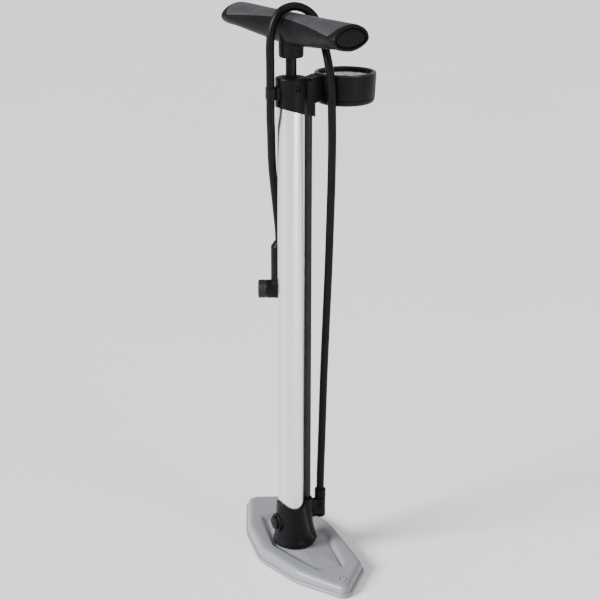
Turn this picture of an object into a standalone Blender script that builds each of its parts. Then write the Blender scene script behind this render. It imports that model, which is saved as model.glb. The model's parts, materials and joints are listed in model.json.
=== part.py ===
"""Floor bike pump: moulded foot, alloy barrel, T handle, gauge on an arm and a hose parked over the handle.

The barrel's axis is the world Z axis and the foot stands on Z = 0. The foot is long in X.
The gauge, the air-tube channel and the hose outlet are on the +Y side, the hose clip is on the -Y side.
"""

import math

import bmesh
import bpy
import numpy as np
from mathutils import Matrix, Vector

# Driving dimensions, in metres
GAP = 0.0003  # between pieces that touch
RUN = 0.0004  # round a piece that slides or turns

BARREL_R = 0.0150
BARREL_BORE = 0.01375
BARREL_FOOT = 0.0458
BARREL_TOP = 0.5600

ROD_R = 0.0060
ROD_FOOT = 0.0610
ROD_TOP = 0.6200

SOLE_H = 0.0050
SHELL_WALL = 0.0024
CREST_Z = 0.0172  # the foot's rim at its middle, and how far it drops to the tips
CREST_DROP = 0.0042
TIP_X = 0.1215

SOCKET_FOOT = 0.0178
SOCKET_FLOOR = 0.0442
SOCKET_FORM = [  # height, radius and how far back the round is
    (SOCKET_FOOT, 0.0250, 0.0040),
    (0.0195, 0.0252, 0.0040),
    (0.0225, 0.0246, 0.0038),
    (0.0262, 0.0228, 0.0030),
    (0.0300, 0.0219, 0.0024),
    (0.0400, 0.0202, 0.0012),
    (0.0560, 0.0182, 0.0004),
    (0.0660, 0.0176, 0.0000),
    (0.0780, 0.0174, 0.0000),
]

SCREW_PLACES = [(0.0125, -0.0060), (0.0125, 0.0125), (-0.0125, 0.0125), (-0.0125, -0.0060)]

VALVE_Z = 0.0490  # the non-return valve lies along +Y at this height
VALVE_SEAT_Y = 0.0218
VALVE_END_Y = 0.0361
VALVE_R = 0.0032
BALL_R = 0.0026
BALL_Y = 0.0241
VALVE_TRAVEL = 0.0015
AIR_WAY_Z = 0.0422

OUTLET_Y = 0.0393
OUTLET_R = 0.0064
NUT_R = 0.0067
NUT_FOOT = 0.0665
NUT_TOP = 0.0780

CHANNEL_Y = 0.0203
CHANNEL_R = 0.0052
CHANNEL_FOOT = 0.0728
CHANNEL_TOP = 0.5480
TUBE_R = 0.0016
TUBE_Y = 0.0222

HEAD_R = 0.0173
HEAD_FOOT = 0.5420
HEAD_TOP = 0.5745
HEAD_SLEEVE_FOOT = 0.5285
HEAD_SCREW_Z = 0.5640
CLIP_Y = -0.0250
CLIP_FOOT = 0.5520
CLIP_TOP = 0.5650

GAUGE_Y = 0.0669
GAUGE_R = 0.0340
GAUGE_BACK_Z = 0.5400
GAUGE_SEAM_Z = 0.5474
GAUGE_TOP = 0.5757
GAUGE_WALL = 0.0024
DIAL_Z = 0.5696
NEEDLE_Z = 0.5708
NEEDLE_REST = math.radians(135)
LENS_Z = 0.5718
STEM_Z = 0.5545
SECTOR_PIVOT = (0.0000, 0.0809)
SECTOR_R = 0.0116
PINION_R = 0.0020
SECTOR_Z = 0.5640

COLLAR_R = 0.0134
COLLAR_FOOT = 0.5955
HANDLE_TOP = 0.6424
HANDLE_HALF = 0.1120
COVER_HALF = 0.1066
HANDLE_TURN = math.radians(4.5)

HOSE_R = 0.0046
CHUCK_X = -0.0254
CHUCK_Y = -0.0018
CHUCK_Z = 0.3285
CHUCK_TURN = math.radians(-28)
STEM_R = 0.0095
STEM_TOP = 0.3856
NOZZLE_R = 0.0106
LEVER_Y = 0.0098

# The hose's route from its nut on the foot, over the handle and down to the pump head
HOSE_ROUTE = [
    (0.0000, 0.0393, NUT_TOP + GAP),
    (0.0002, 0.0395, 0.1000),
    (0.0010, 0.0403, 0.1408),
    (0.0022, 0.0405, 0.1750),
    (0.0040, 0.0406, 0.2184),
    (0.0078, 0.0412, 0.2937),
    (0.0118, 0.0413, 0.3548),
    (0.0158, 0.0407, 0.4143),
    (0.0190, 0.0400, 0.4606),
    (0.0235, 0.0378, 0.5058),
    (0.0245, 0.0366, 0.5400),
    (0.0250, 0.0358, 0.5640),
    (0.0210, 0.0337, 0.5890),
    (0.0130, 0.0336, 0.6060),
    (0.0080, 0.0304, 0.6210),
    (0.0045, 0.0243, 0.6375),
    (0.0020, 0.0131, 0.6462),
    (0.0010, 0.0010, 0.6486),
    (0.0000, -0.0121, 0.6444),
    (-0.0004, -0.0190, 0.6355),
    (-0.0004, -0.0230, 0.6250),
    (0.0000, -0.0251, 0.6100),
    (0.0000, -0.0250, 0.5900),
    (0.0000, -0.0250, 0.5720),
    (0.0000, -0.0250, 0.5585),
    (0.0000, -0.0250, 0.5450),
    (-0.0030, -0.0234, 0.5310),
    (-0.0100, -0.0193, 0.5150),
    (-0.0147, -0.0164, 0.4934),
    (-0.0183, -0.0137, 0.4740),
    (-0.0210, -0.0105, 0.4550),
    (-0.0232, -0.0070, 0.4330),
    (-0.0247, -0.0038, 0.4103),
    (-0.0254, -0.0020, 0.3950),
    (CHUCK_X, CHUCK_Y, STEM_TOP + GAP),
]
HOSE_POINTS = 79

# Corners of the foot's outline and of its sunk middle, from the front to the back along +X
FOOT = [
    ((0.0000, -0.0432), 0.040),
    ((0.0660, -0.0295), 0.060),
    ((TIP_X, 0.0018), 0.009),
    ((0.1208, 0.0130), 0.010),
    ((0.0800, 0.0550), 0.013),
    ((-0.0250, 0.0695), 0.150),
    ((-0.1185, 0.0530), 0.016),
    ((-0.1368, 0.0205), 0.016),
    ((-0.1345, 0.0066), 0.010),
    ((-0.0640, -0.0285), 0.060),
]
DISH_HALF = [
    ((0.0000, -0.0245), 0.014),
    ((0.0470, -0.0120), 0.040),
    ((0.0750, -0.0032), 0.005),
    ((0.0768, 0.0120), 0.020),
    ((0.0775, 0.0305), 0.005),
    ((0.0000, 0.0520), 0.030),
]
ARC_STEPS = 3


def clear_scene():
    for old in list(bpy.data.objects):
        bpy.data.objects.remove(old, do_unlink=True)


def new_collection(name):
    group = bpy.data.collections.new(name)
    bpy.context.scene.collection.children.link(group)
    return group


clear_scene()
PARTS = new_collection("floor_bike_pump")
CUTTERS = new_collection("cutters")


def material(name, color, roughness, metallic=0.0, alpha=1.0):
    mat = bpy.data.materials.get(name)
    if mat is None:
        mat = bpy.data.materials.new(name)
        mat.use_nodes = True
        shader = mat.node_tree.nodes["Principled BSDF"]
        shader.inputs["Base Color"].default_value = (*color, 1.0)
        shader.inputs["Roughness"].default_value = roughness
        shader.inputs["Metallic"].default_value = metallic
        shader.inputs["Alpha"].default_value = alpha
    return mat


def black_plastic():
    return material("black_plastic", (0.022, 0.022, 0.024), 0.45)


def grip_rubber():
    return material("grip_rubber", (0.075, 0.077, 0.082), 0.6)


def silver_plastic():
    return material("silver_plastic", (0.40, 0.42, 0.44), 0.42)


def aluminium():
    return material("aluminium", (0.80, 0.81, 0.82), 0.28, 0.9)


def steel():
    return material("steel", (0.55, 0.55, 0.56), 0.3, 1.0)


def black_steel():
    return material("black_steel", (0.02, 0.02, 0.021), 0.3, 0.4)


def brass():
    return material("brass", (0.72, 0.55, 0.25), 0.3, 1.0)


def rubber():
    return material("rubber", (0.02, 0.02, 0.02), 0.6)


def dial_face():
    return material("dial_face", (0.82, 0.83, 0.83), 0.4)


def red_paint():
    return material("red_paint", (0.6, 0.05, 0.03), 0.4)


def clear_plastic():
    return material("clear_plastic", (0.9, 0.92, 0.93), 0.05, 0.0, 0.3)


# Small tools


def link(obj, mat=None, cutter=False):
    """Puts an object in its collection, and gives it its material."""
    for group in list(obj.users_collection):
        group.objects.unlink(obj)
    (CUTTERS if cutter else PARTS).objects.link(obj)
    if cutter:
        obj.hide_render = True
        obj.display_type = "WIRE"
    if mat is not None:
        obj.data.materials.clear()
        obj.data.materials.append(mat)
    return obj


def smooth(obj, angle=35.0):
    obj.data.shade_smooth()
    obj.data.set_sharp_from_angle(angle=math.radians(angle))
    return obj


def from_bmesh(name, bm, mat=None, cutter=False, at=(0, 0, 0)):
    bmesh.ops.recalc_face_normals(bm, faces=bm.faces[:])
    mesh = bpy.data.meshes.new(name)
    bm.to_mesh(mesh)
    bm.free()
    obj = bpy.data.objects.new(name, mesh)
    obj.location = at
    return link(obj, mat, cutter)


def box(name, low, high, mat=None, cutter=False, bevel=0.0):
    low, high = Vector(low), Vector(high)
    bm = bmesh.new()
    bmesh.ops.create_cube(bm, size=1.0)
    bmesh.ops.scale(bm, vec=high - low, verts=bm.verts[:])
    obj = from_bmesh(name, bm, mat, cutter, (low + high) / 2)
    if bevel:
        add_bevel(obj, bevel)
    return obj


AXIS_TURN = {
    "Z": Matrix.Identity(4),
    "X": Matrix.Rotation(math.pi / 2, 4, "Y"),
    "Y": Matrix.Rotation(-math.pi / 2, 4, "X"),
}


def rod(name, start, length, radius, axis="Z", mat=None, cutter=False, sides=32):
    """A cylinder from start along +axis."""
    bm = bmesh.new()
    bmesh.ops.create_cone(
        bm,
        cap_ends=True,
        segments=sides,
        radius1=radius,
        radius2=radius,
        depth=length,
    )
    bmesh.ops.translate(bm, vec=(0, 0, length / 2), verts=bm.verts[:])
    bmesh.ops.transform(bm, matrix=AXIS_TURN[axis], verts=bm.verts[:])
    obj = from_bmesh(name, bm, mat, cutter, start)
    return smooth(obj)


def turned(name, profile, mat=None, at=(0, 0, 0), sides=32, axis="Z", cutter=False):
    """A (radius, height) profile, down its outer side, screwed round the object's own Z axis."""
    bm = bmesh.new()
    verts = [bm.verts.new((r, 0, z)) for r, z in profile]
    for a, b in zip(verts, verts[1:]):
        bm.edges.new((a, b))
    if min(profile[0][0], profile[-1][0]) > 0:
        bm.edges.new((verts[-1], verts[0]))
    mesh = bpy.data.meshes.new(name)
    bm.to_mesh(mesh)
    bm.free()
    obj = link(bpy.data.objects.new(name, mesh), mat, cutter)
    obj.location = at
    obj.rotation_euler = AXIS_TURN[axis].to_euler()
    spin = obj.modifiers.new("Screw", "SCREW")
    spin.steps = sides
    spin.render_steps = sides
    spin.use_merge_vertices = True
    spin.merge_threshold = 0.00001
    spin.use_smooth_shade = True
    return obj


def add_bevel(obj, width, segments=2, angle=40.0):
    mod = obj.modifiers.new("Bevel", "BEVEL")
    mod.width = width
    mod.segments = segments
    mod.limit_method = "ANGLE"
    mod.angle_limit = math.radians(angle)
    return obj


def combine(obj, other, operation):
    mod = obj.modifiers.new(operation.title(), "BOOLEAN")
    mod.operation = operation
    mod.solver = "EXACT"
    mod.object = other
    return obj


def cut(obj, *others):
    for other in others:
        combine(obj, other, "DIFFERENCE")
    return obj


def join(obj, *others):
    for other in others:
        combine(obj, other, "UNION")
    return obj


def loft(name, rings, mat=None, cutter=False, closed=True):
    """A skin through rings of equally many points, with its two end rings filled."""
    bm = bmesh.new()
    rows = [[bm.verts.new(p) for p in ring] for ring in rings]
    count = len(rows[0])
    for below, above in zip(rows, rows[1:]):
        for i in range(count):
            j = (i + 1) % count
            bm.faces.new((below[i], below[j], above[j], above[i]))
    if closed:
        bm.faces.new(rows[0])
    bm.faces.new(rows[-1])
    return from_bmesh(name, bm, mat, cutter)


def plate(name, outline, low, high, mat=None, cutter=False, bevel=0.0, segments=2):
    """A flat outline in X and Y, filled and raised from low to high."""
    rings = [[(x, y, z) for x, y in outline] for z in (low, high)]
    obj = loft(name, rings, mat, cutter)
    if bevel:
        add_bevel(obj, bevel, segments)
    return obj


def slab(name, outline, low, high, axis, mat=None, cutter=False, bevel=0.0):
    """An outline in the plane across X or Y, raised from low to high along that axis."""
    if axis == "X":
        rings = [[(x, u, v) for u, v in outline] for x in (low, high)]
    else:
        rings = [[(u, y, v) for u, v in outline] for y in (low, high)]
    obj = loft(name, rings, mat, cutter)
    if bevel:
        add_bevel(obj, bevel)
    return obj


def rounded(corners, steps=ARC_STEPS):
    """The outline through ((x, y), radius) corners with each corner an arc of steps pieces."""
    points = []
    count = len(corners)
    for i, (corner, radius) in enumerate(corners):
        here = Vector(corner)
        before = Vector(corners[i - 1][0]) - here
        after = Vector(corners[(i + 1) % count][0]) - here
        half = before.angle(after) / 2
        run = radius / math.tan(half)
        run = min(run, 0.45 * before.length, 0.45 * after.length)
        radius = run * math.tan(half)
        middle = here + (before.normalized() + after.normalized()).normalized() * (radius / math.sin(half))
        first = here + before.normalized() * run - middle
        last = here + after.normalized() * run - middle
        sweep = first.angle_signed(last)
        for k in range(steps + 1):
            turn = Matrix.Rotation(-sweep * k / steps, 2)
            points.append(tuple(middle + turn @ first))
    return points


def mirrored(half):
    """A half outline from the front to the back, with its other side added."""
    other = [((-x, y), r) for (x, y), r in half[1:-1]]
    return half + other[::-1]


def inset(corners, distance):
    """The same corners with every side moved inwards, for an outline that runs anticlockwise."""
    count = len(corners)
    moved = []
    for i, (corner, radius) in enumerate(corners):
        here = Vector(corner)
        before = (here - Vector(corners[i - 1][0])).normalized()
        after = (Vector(corners[(i + 1) % count][0]) - here).normalized()
        side_a = Vector((-before.y, before.x))
        side_b = Vector((-after.y, after.x))
        shift = (side_a + side_b) / (1 + side_a.dot(side_b)) * distance
        moved.append((tuple(here + shift), max(radius - distance, 0.002)))
    return moved


def arc(centre, radius, start, end, steps):
    """Points on an arc, with its angles in degrees."""
    angles = np.radians(np.linspace(start, end, steps + 1))
    return [(centre[0] + radius * math.cos(a), centre[1] + radius * math.sin(a)) for a in angles]


def tube_curve(name, points, radius, mat, resolution=2):
    """A round wire along points, with filled ends."""
    curve = bpy.data.curves.new(name, "CURVE")
    curve.dimensions = "3D"
    curve.bevel_depth = radius
    curve.bevel_resolution = resolution
    curve.use_fill_caps = True
    line = curve.splines.new("POLY")
    line.points.add(len(points) - 1)
    for point, place in zip(line.points, points):
        point.co = (*place, 1.0)
    obj = bpy.data.objects.new(name, curve)
    return link(obj, mat)


def smooth_line(route, count):
    """Evenly spaced points on the smooth curve through a route's points."""
    p = np.array(route, float)
    p = np.vstack([2 * p[0] - p[1], p, 2 * p[-1] - p[-2]])
    fine = []
    for i in range(1, len(p) - 2):
        knots = [0.0]
        for a, b in ((i - 1, i), (i, i + 1), (i + 1, i + 2)):
            knots.append(knots[-1] + np.linalg.norm(p[b] - p[a]) ** 0.5)
        for t in np.linspace(knots[1], knots[2], 24, endpoint=False):
            fine.append(catmull(p[i - 1 : i + 3], knots, t))
    fine.append(p[-2])
    fine = np.array(fine)
    along = np.concatenate([[0], np.cumsum(np.linalg.norm(np.diff(fine, axis=0), axis=1))])
    at = np.linspace(0, along[-1], count)
    return [tuple(np.interp(s, along, fine[:, k]) for k in range(3)) for s in at]


def catmull(p, k, t):
    """One point of the centripetal curve through four points."""

    def mix(a, b, low, high):
        return ((high - t) * a + (t - low) * b) / (high - low)

    a = [mix(p[i], p[i + 1], k[i], k[i + 1]) for i in range(3)]
    b = [mix(a[i], a[i + 1], k[i], k[i + 2]) for i in range(2)]
    return mix(b[0], b[1], k[1], k[2])


def pivot(name, place):
    """An empty on a joint's axis."""
    empty = bpy.data.objects.new(name, None)
    empty.location = place
    empty.empty_display_size = 0.01
    PARTS.objects.link(empty)
    return empty


def hang(empty, *pieces):
    """Parents pieces to an empty without moving them."""
    for piece in pieces:
        piece.parent = empty
        piece.matrix_parent_inverse = Matrix.Translation(-empty.location)


# The foot


def crest(x):
    return CREST_Z - CREST_DROP * (abs(x) / TIP_X) ** 1.5


def make_sole():
    outline = rounded(FOOT)
    sole = plate("base_sole", outline, 0.0, SOLE_H, silver_plastic(), bevel=0.0012, segments=1)
    for i, (x, y) in enumerate(SCREW_PLACES):
        join(sole, rod(f"cut_boss_{i}", (x, y, SOLE_H - 0.001), 0.0082, 0.0050, cutter=True, sides=14))
    for i, (x, y) in enumerate(SCREW_PLACES):
        cut(sole, rod(f"cut_head_{i}", (x, y, -0.001), 0.0053, 0.0043, cutter=True, sides=14))
        cut(sole, rod(f"cut_sole_hole_{i}", (x, y, 0.001), 0.02, 0.0024, cutter=True, sides=12))
    return sole


def make_shell():
    dish = mirrored(DISH_HALF)
    rings = []
    for shrink, drop in ((0.0022, None), (0.0036, 0.0042), (0.0054, 0.0013), (0.0085, 0.0)):
        flat = rounded(inset(FOOT, shrink))
        low = SOLE_H + GAP + 0.0015
        rings.append([(x, y, low if drop is None else crest(x) - drop) for x, y in flat])
    for shrink, drop in ((-0.0008, 0.0002), (0.0004, 0.0012), (0.0020, 0.0036)):
        rings.append([(x, y, crest(x) - drop) for x, y in rounded(inset(dish, shrink))])
    middle = rounded(inset(dish, 0.0020))
    for share, z in ((0.62, CREST_Z - 0.0022), (0.42, CREST_Z)):
        rings.append([(x * share * 0.62, (y - 0.006) * share * 1.55 + 0.006, z) for x, y in middle])
    shell = loft("base_shell", rings, silver_plastic(), closed=False)
    solid = shell.modifiers.new("Solidify", "SOLIDIFY")
    solid.thickness = SHELL_WALL
    solid.offset = -1.0
    for i, (x, y) in enumerate(SCREW_PLACES):
        cut(shell, rod(f"cut_shell_hole_{i}", (x, y, 0.008), 0.02, 0.0024, cutter=True, sides=12))
    return smooth(shell, 30)


def make_base_screws():
    for i, (x, y) in enumerate(SCREW_PLACES):
        profile = [
            (0, 0.0285),
            (0.0012, 0.0285),
            (0.0018, 0.0270),
            (0.0018, 0.0040),
            (0.0038, 0.0040),
            (0.0038, 0.0014),
            (0.0030, 0.0008),
            (0.0016, 0.0008),
            (0.0016, 0.0022),
            (0, 0.0022),
        ]
        turned(f"base_screw_{i + 1}", profile, steel(), (x, y, 0), sides=12)


# The socket that holds the barrel, with its non-return valve


def make_socket():
    rings = []
    for z, r, shift in SOCKET_FORM:
        turns = [math.tau * k / 36 for k in range(36)]
        rings.append([(r * math.cos(a), shift + r * math.sin(a), z) for a in turns])
    socket = loft("barrel_socket", rings, black_plastic())
    saddle = rod("cut_saddle", (-0.04, 0, 0.0899), 0.08, 0.0239, "X", cutter=True, sides=46)
    cut(socket, saddle)
    rear = turned(
        "add_rear",
        [
            (0, 0.0720),
            (0.0100, 0.0720),
            (0.0112, 0.0700),
            (0.0114, 0.0520),
            (0.0122, 0.0400),
            (0.0150, 0.0250),
            (0.0165, SOCKET_FOOT + 0.0008),
            (0, SOCKET_FOOT + 0.0008),
        ],
        at=(0, 0.0160, 0),
        sides=28,
        cutter=True,
    )
    rear.rotation_euler.z = math.radians(3)
    arm = rod("add_arm", (0, 0.018, VALVE_Z), OUTLET_Y - 0.018, 0.0066, "Y", cutter=True, sides=20)
    rise = NUT_FOOT - GAP - 0.0418
    outlet = rod("add_outlet", (0, OUTLET_Y, 0.0418), rise, OUTLET_R, cutter=True, sides=24)
    add_bevel(outlet, 0.0012, 1)
    web = box("add_web", (-0.0042, 0.0180, 0.0470), (0.0042, OUTLET_Y, 0.0655), cutter=True)
    plug_boss = rod("add_plug_boss", (0, -0.0222, 0.0465), 0.010, 0.0112, "Y", cutter=True, sides=24)
    add_bevel(plug_boss, 0.0010, 1)
    join(socket, rear, arm, web, outlet, plug_boss)
    bore = rod("cut_barrel", (0, 0, SOCKET_FLOOR), 0.05, BARREL_R + GAP, cutter=True, sides=40)
    well = rod("cut_well", (0, 0, 0.0395), 0.01, 0.0115, cutter=True, sides=20)
    plug_hole = rod("cut_plug", (0, -0.03, 0.0465), 0.0105, 0.0078, "Y", cutter=True, sides=20)
    channel = rod("cut_channel", (0, CHANNEL_Y, 0.0595), 0.05, CHANNEL_R + GAP, cutter=True, sides=24)
    cut(socket, bore, well, plug_hole, channel)
    cut(socket, *valve_cutters())
    for i, (x, y) in enumerate(SCREW_PLACES):
        cut(socket, rod(f"cut_socket_hole_{i}", (x, y, 0.01), 0.0195, 0.0021, cutter=True, sides=10))
    return socket


def valve_cutters():
    """The air's way: barrel well, valve seat, valve chamber, outlet and the gauge tube's seat."""
    rise = VALVE_Z - AIR_WAY_Z + 0.0010
    chamber = VALVE_END_Y - VALVE_SEAT_Y
    return [
        rod("cut_way_in", (0, 0, AIR_WAY_Z), 0.0205, 0.0016, "Y", cutter=True, sides=16),
        rod("cut_way_up", (0, 0.0193, AIR_WAY_Z - 0.0010), rise, 0.0014, cutter=True, sides=16),
        rod("cut_seat", (0, 0.0178, VALVE_Z), 0.0060, 0.0018, "Y", cutter=True, sides=16),
        rod("cut_chamber", (0, VALVE_SEAT_Y, VALVE_Z), chamber, VALVE_R, "Y", cutter=True, sides=24),
        rod("cut_way_out", (0, VALVE_END_Y - 0.0010, VALVE_Z), 0.0042, 0.0017, "Y", cutter=True, sides=16),
        rod("cut_outlet", (0, OUTLET_Y, VALVE_Z - 0.0024), 0.03, 0.0024, cutter=True, sides=20),
        rod("cut_tube_seat", (0, TUBE_Y + 0.0006, VALVE_Z), 0.02, 0.0009, cutter=True, sides=12),
    ]


def make_valve():
    bm = bmesh.new()
    bmesh.ops.create_uvsphere(bm, u_segments=16, v_segments=8, radius=BALL_R)
    ball = smooth(from_bmesh("check_valve_ball", bm, steel(), at=(0, BALL_Y, VALVE_Z)), 60)
    hang(pivot("valve_axis", (0, BALL_Y, VALVE_Z)), ball)
    start = BALL_Y + VALVE_TRAVEL + 0.0021
    end = VALVE_END_Y - 0.0006
    points = []
    for k in range(41):
        a = math.tau * k / 10
        points.append((0.0022 * math.cos(a), start + (end - start) * k / 40, VALVE_Z + 0.0022 * math.sin(a)))
    tube_curve("check_valve_spring", points, 0.0003, steel(), 0)


def make_plug():
    profile = [
        (0, 0.0018),
        (0.0036, 0.0018),
        (0.0042, 0.0030),
        (0.0060, 0.0030),
        (0.0075, 0.0020),
        (0.0075, -0.0030),
        (0, -0.0030),
    ]
    plug = turned("valve_plug", profile, black_plastic(), (0, -0.0225, 0.0465), sides=24)
    plug.rotation_euler = (math.pi / 2, 0, 0)
    return plug


# The barrel and what slides in it


def tube(name, radius, bore, low, high, mat, sides=48, at=(0, 0, 0)):
    profile = [(bore, high), (radius, high), (radius, low), (bore, low)]
    return turned(name, profile, mat, at, sides)


def make_barrel():
    tube("barrel", BARREL_R, BARREL_BORE, BARREL_FOOT, BARREL_TOP, aluminium(), 48)
    ring = arc((0.01435, SOCKET_FLOOR + 0.0008), 0.0005, 0, 360, 6)
    turned("socket_seal", ring[:0:-1], rubber(), sides=24)


def make_piston():
    rod_bar = turned(
        "piston_rod",
        [
            (0, ROD_TOP),
            (0.0052, ROD_TOP),
            (ROD_R, ROD_TOP - 0.0010),
            (ROD_R, ROD_FOOT + 0.0085),
            (0.0040, ROD_FOOT + 0.0085),
            (0.0040, ROD_FOOT - 0.0080),
            (0, ROD_FOOT - 0.0080),
        ],
        black_steel(),
        sides=32,
    )
    cut(rod_bar, rod("cut_rod_thread", (0, 0, ROD_TOP - 0.016), 0.03, 0.0026, cutter=True, sides=16))
    piston = tube("piston", 0.0128, 0.0043, ROD_FOOT, ROD_FOOT + 0.0080, black_plastic(), 32)
    cup = turned(
        "cup_seal",
        [
            (0.0043, ROD_FOOT - GAP),
            (0.0128, ROD_FOOT - GAP),
            (0.01335, ROD_FOOT - 0.0010),
            (0.01335, ROD_FOOT - 0.0078),
            (0.0120, ROD_FOOT - 0.0078),
            (0.0112, ROD_FOOT - 0.0020),
            (0.0043, ROD_FOOT - 0.0020),
        ],
        rubber(),
        sides=32,
    )
    washer = tube("piston_washer", 0.0088, 0.0043, ROD_FOOT - 0.0033, ROD_FOOT - 0.0023, steel(), 24)
    nut = rod("piston_nut", (0, 0, ROD_FOOT - 0.0077), 0.0041, 0.0062, mat=steel(), sides=6)
    cut(nut, rod("cut_nut", (0, 0, 0.04), 0.04, 0.0043, cutter=True, sides=20))
    return [rod_bar, piston, cup, washer, nut]


# The barrel's head


def make_head():
    head = turned(
        "barrel_head",
        [
            (0, HEAD_TOP),
            (HEAD_R - 0.0014, HEAD_TOP),
            (HEAD_R - 0.0004, HEAD_TOP - 0.0004),
            (HEAD_R, HEAD_TOP - 0.0014),
            (HEAD_R, HEAD_FOOT - 0.0120),
            (0, HEAD_FOOT - 0.0120),
        ],
        black_plastic(),
        sides=36,
    )
    arm = slab(
        "add_neck",
        [
            (0.004, 0.5450),
            (0.0250, 0.5450),
            (0.0300, 0.5468),
            (0.0380, 0.5476),
            (0.0380, 0.5746),
            (0.0290, 0.5742),
            (0.0220, 0.5724),
            (0.004, 0.5724),
        ],
        -0.0100,
        0.0100,
        "X",
        cutter=True,
        bevel=0.0012,
    )
    sleeve_outline = [(-0.0090, 0.006), (0.0090, 0.006)] + arc((0, CHANNEL_Y), 0.0086, 0, 180, 10)
    end_y = CHANNEL_Y + 0.0086
    top_ring = [(x, y, 0.5500) for x, y in sleeve_outline]
    low_ring = [(x, y, HEAD_SLEEVE_FOOT + 0.45 * (end_y - y)) for x, y in sleeve_outline]
    sleeve = loft("add_sleeve", [low_ring, top_ring], cutter=True)
    slope = slab(
        "cut_slope",
        [(-0.03, 0.5200), (0.03, 0.5200), (0.03, 0.5290), (-0.0173, 0.5430), (-0.03, 0.5430)],
        -0.03,
        0.03,
        "X",
        cutter=True,
    )
    cut(head, slope)
    clip = make_clip_form()
    join(head, arm, sleeve, clip)
    bore = rod("cut_head_bore", (0, 0, 0.5), BARREL_TOP + GAP - 0.5, BARREL_R + GAP, cutter=True, sides=40)
    seat = rod("cut_bushing", (0, 0, 0.55), 0.05, 0.0096, cutter=True, sides=24)
    rise = CHANNEL_TOP + GAP - 0.5
    channel = rod("cut_head_channel", (0, CHANNEL_Y, 0.5), rise, CHANNEL_R + GAP, cutter=True, sides=24)
    way = rod("cut_head_tube", (0, TUBE_Y, 0.5), STEM_Z + 0.0018 - 0.5, TUBE_R + GAP, cutter=True, sides=16)
    way_out = rod("cut_head_way", (0, TUBE_Y, STEM_Z), 0.02, 0.0030, "Y", cutter=True, sides=16)
    cradle = rod("cut_cradle", (0, GAUGE_Y, 0.53), 0.06, GAUGE_R + GAP, cutter=True, sides=48)
    cut(head, bore, seat, channel, way, way_out, cradle)
    cut(head, rod("cut_screws", (-0.03, 0, HEAD_SCREW_Z), 0.06, 0.0016, "X", cutter=True, sides=12))
    for i, start in enumerate((0.0158, -0.0258)):
        place = (start, 0, HEAD_SCREW_Z)
        cut(head, rod(f"cut_screw_head_{i}", place, 0.010, 0.0030, "X", cutter=True, sides=16))
    return head


def make_clip_form():
    """A C that the hose snaps into from -Y."""
    outline = arc((0, CLIP_Y), 0.0068, -28, 208, 12) + arc((0, CLIP_Y), HOSE_R + 0.0004, 208, -28, 12)
    clip = plate("add_clip", outline, CLIP_FOOT, CLIP_TOP, cutter=True)
    low = (-0.0050, CLIP_Y + 0.0052, CLIP_FOOT)
    block = box("add_clip_block", low, (0.0050, -0.0120, CLIP_TOP), cutter=True)
    return join(clip, block)


def make_head_parts():
    profile = [
        (0, 0.0007),
        (0.0010, 0.0007),
        (0.0010, 0.0001),
        (0.0027, 0.0001),
        (0.0027, 0.0013),
        (0.0013, 0.0013),
        (0.0013, 0.0062),
        (0.0010, 0.0068),
        (0, 0.0068),
    ]
    for i, side in enumerate((1, -1)):
        place = (side * HEAD_R, 0, HEAD_SCREW_Z)
        screw = turned(f"head_screw_{i + 1}", [(r, -z) for r, z in profile], steel(), place, 16)
        screw.rotation_euler = (0, side * math.pi / 2, 0)
    turned(
        "rod_bushing",
        [
            (ROD_R + RUN, 0.5752),
            (0.0082, 0.5752),
            (0.0092, 0.5742),
            (0.0092, 0.5612),
            (ROD_R + RUN, 0.5612),
        ],
        black_plastic(),
        sides=32,
    )
    ring = arc((ROD_R + 0.0016, 0.5594), 0.0011, 0, 360, 6)
    turned("rod_wiper", ring[:0:-1], rubber(), sides=24)
    tube("rebound_ring", 0.0125, 0.0066, 0.5500, 0.5560, rubber(), 24)


def make_channel():
    outer = arc((0, CHANNEL_Y), CHANNEL_R, -62, 242, 16)
    inner = arc((0, CHANNEL_Y), CHANNEL_R - 0.0012, 242, -62, 16)
    channel = plate("air_tube_channel", outer + inner, CHANNEL_FOOT - 0.0128, CHANNEL_TOP, black_plastic())
    cut(channel, rod("cut_channel_barrel", (0, 0, 0.03), 0.56, BARREL_R + GAP, cutter=True, sides=64))
    smooth(channel)
    tube("gauge_air_tube", TUBE_R, 0.0009, 0.0600, STEM_Z - 0.0005, black_plastic(), 12, (0, TUBE_Y, 0))


# The gauge


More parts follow.
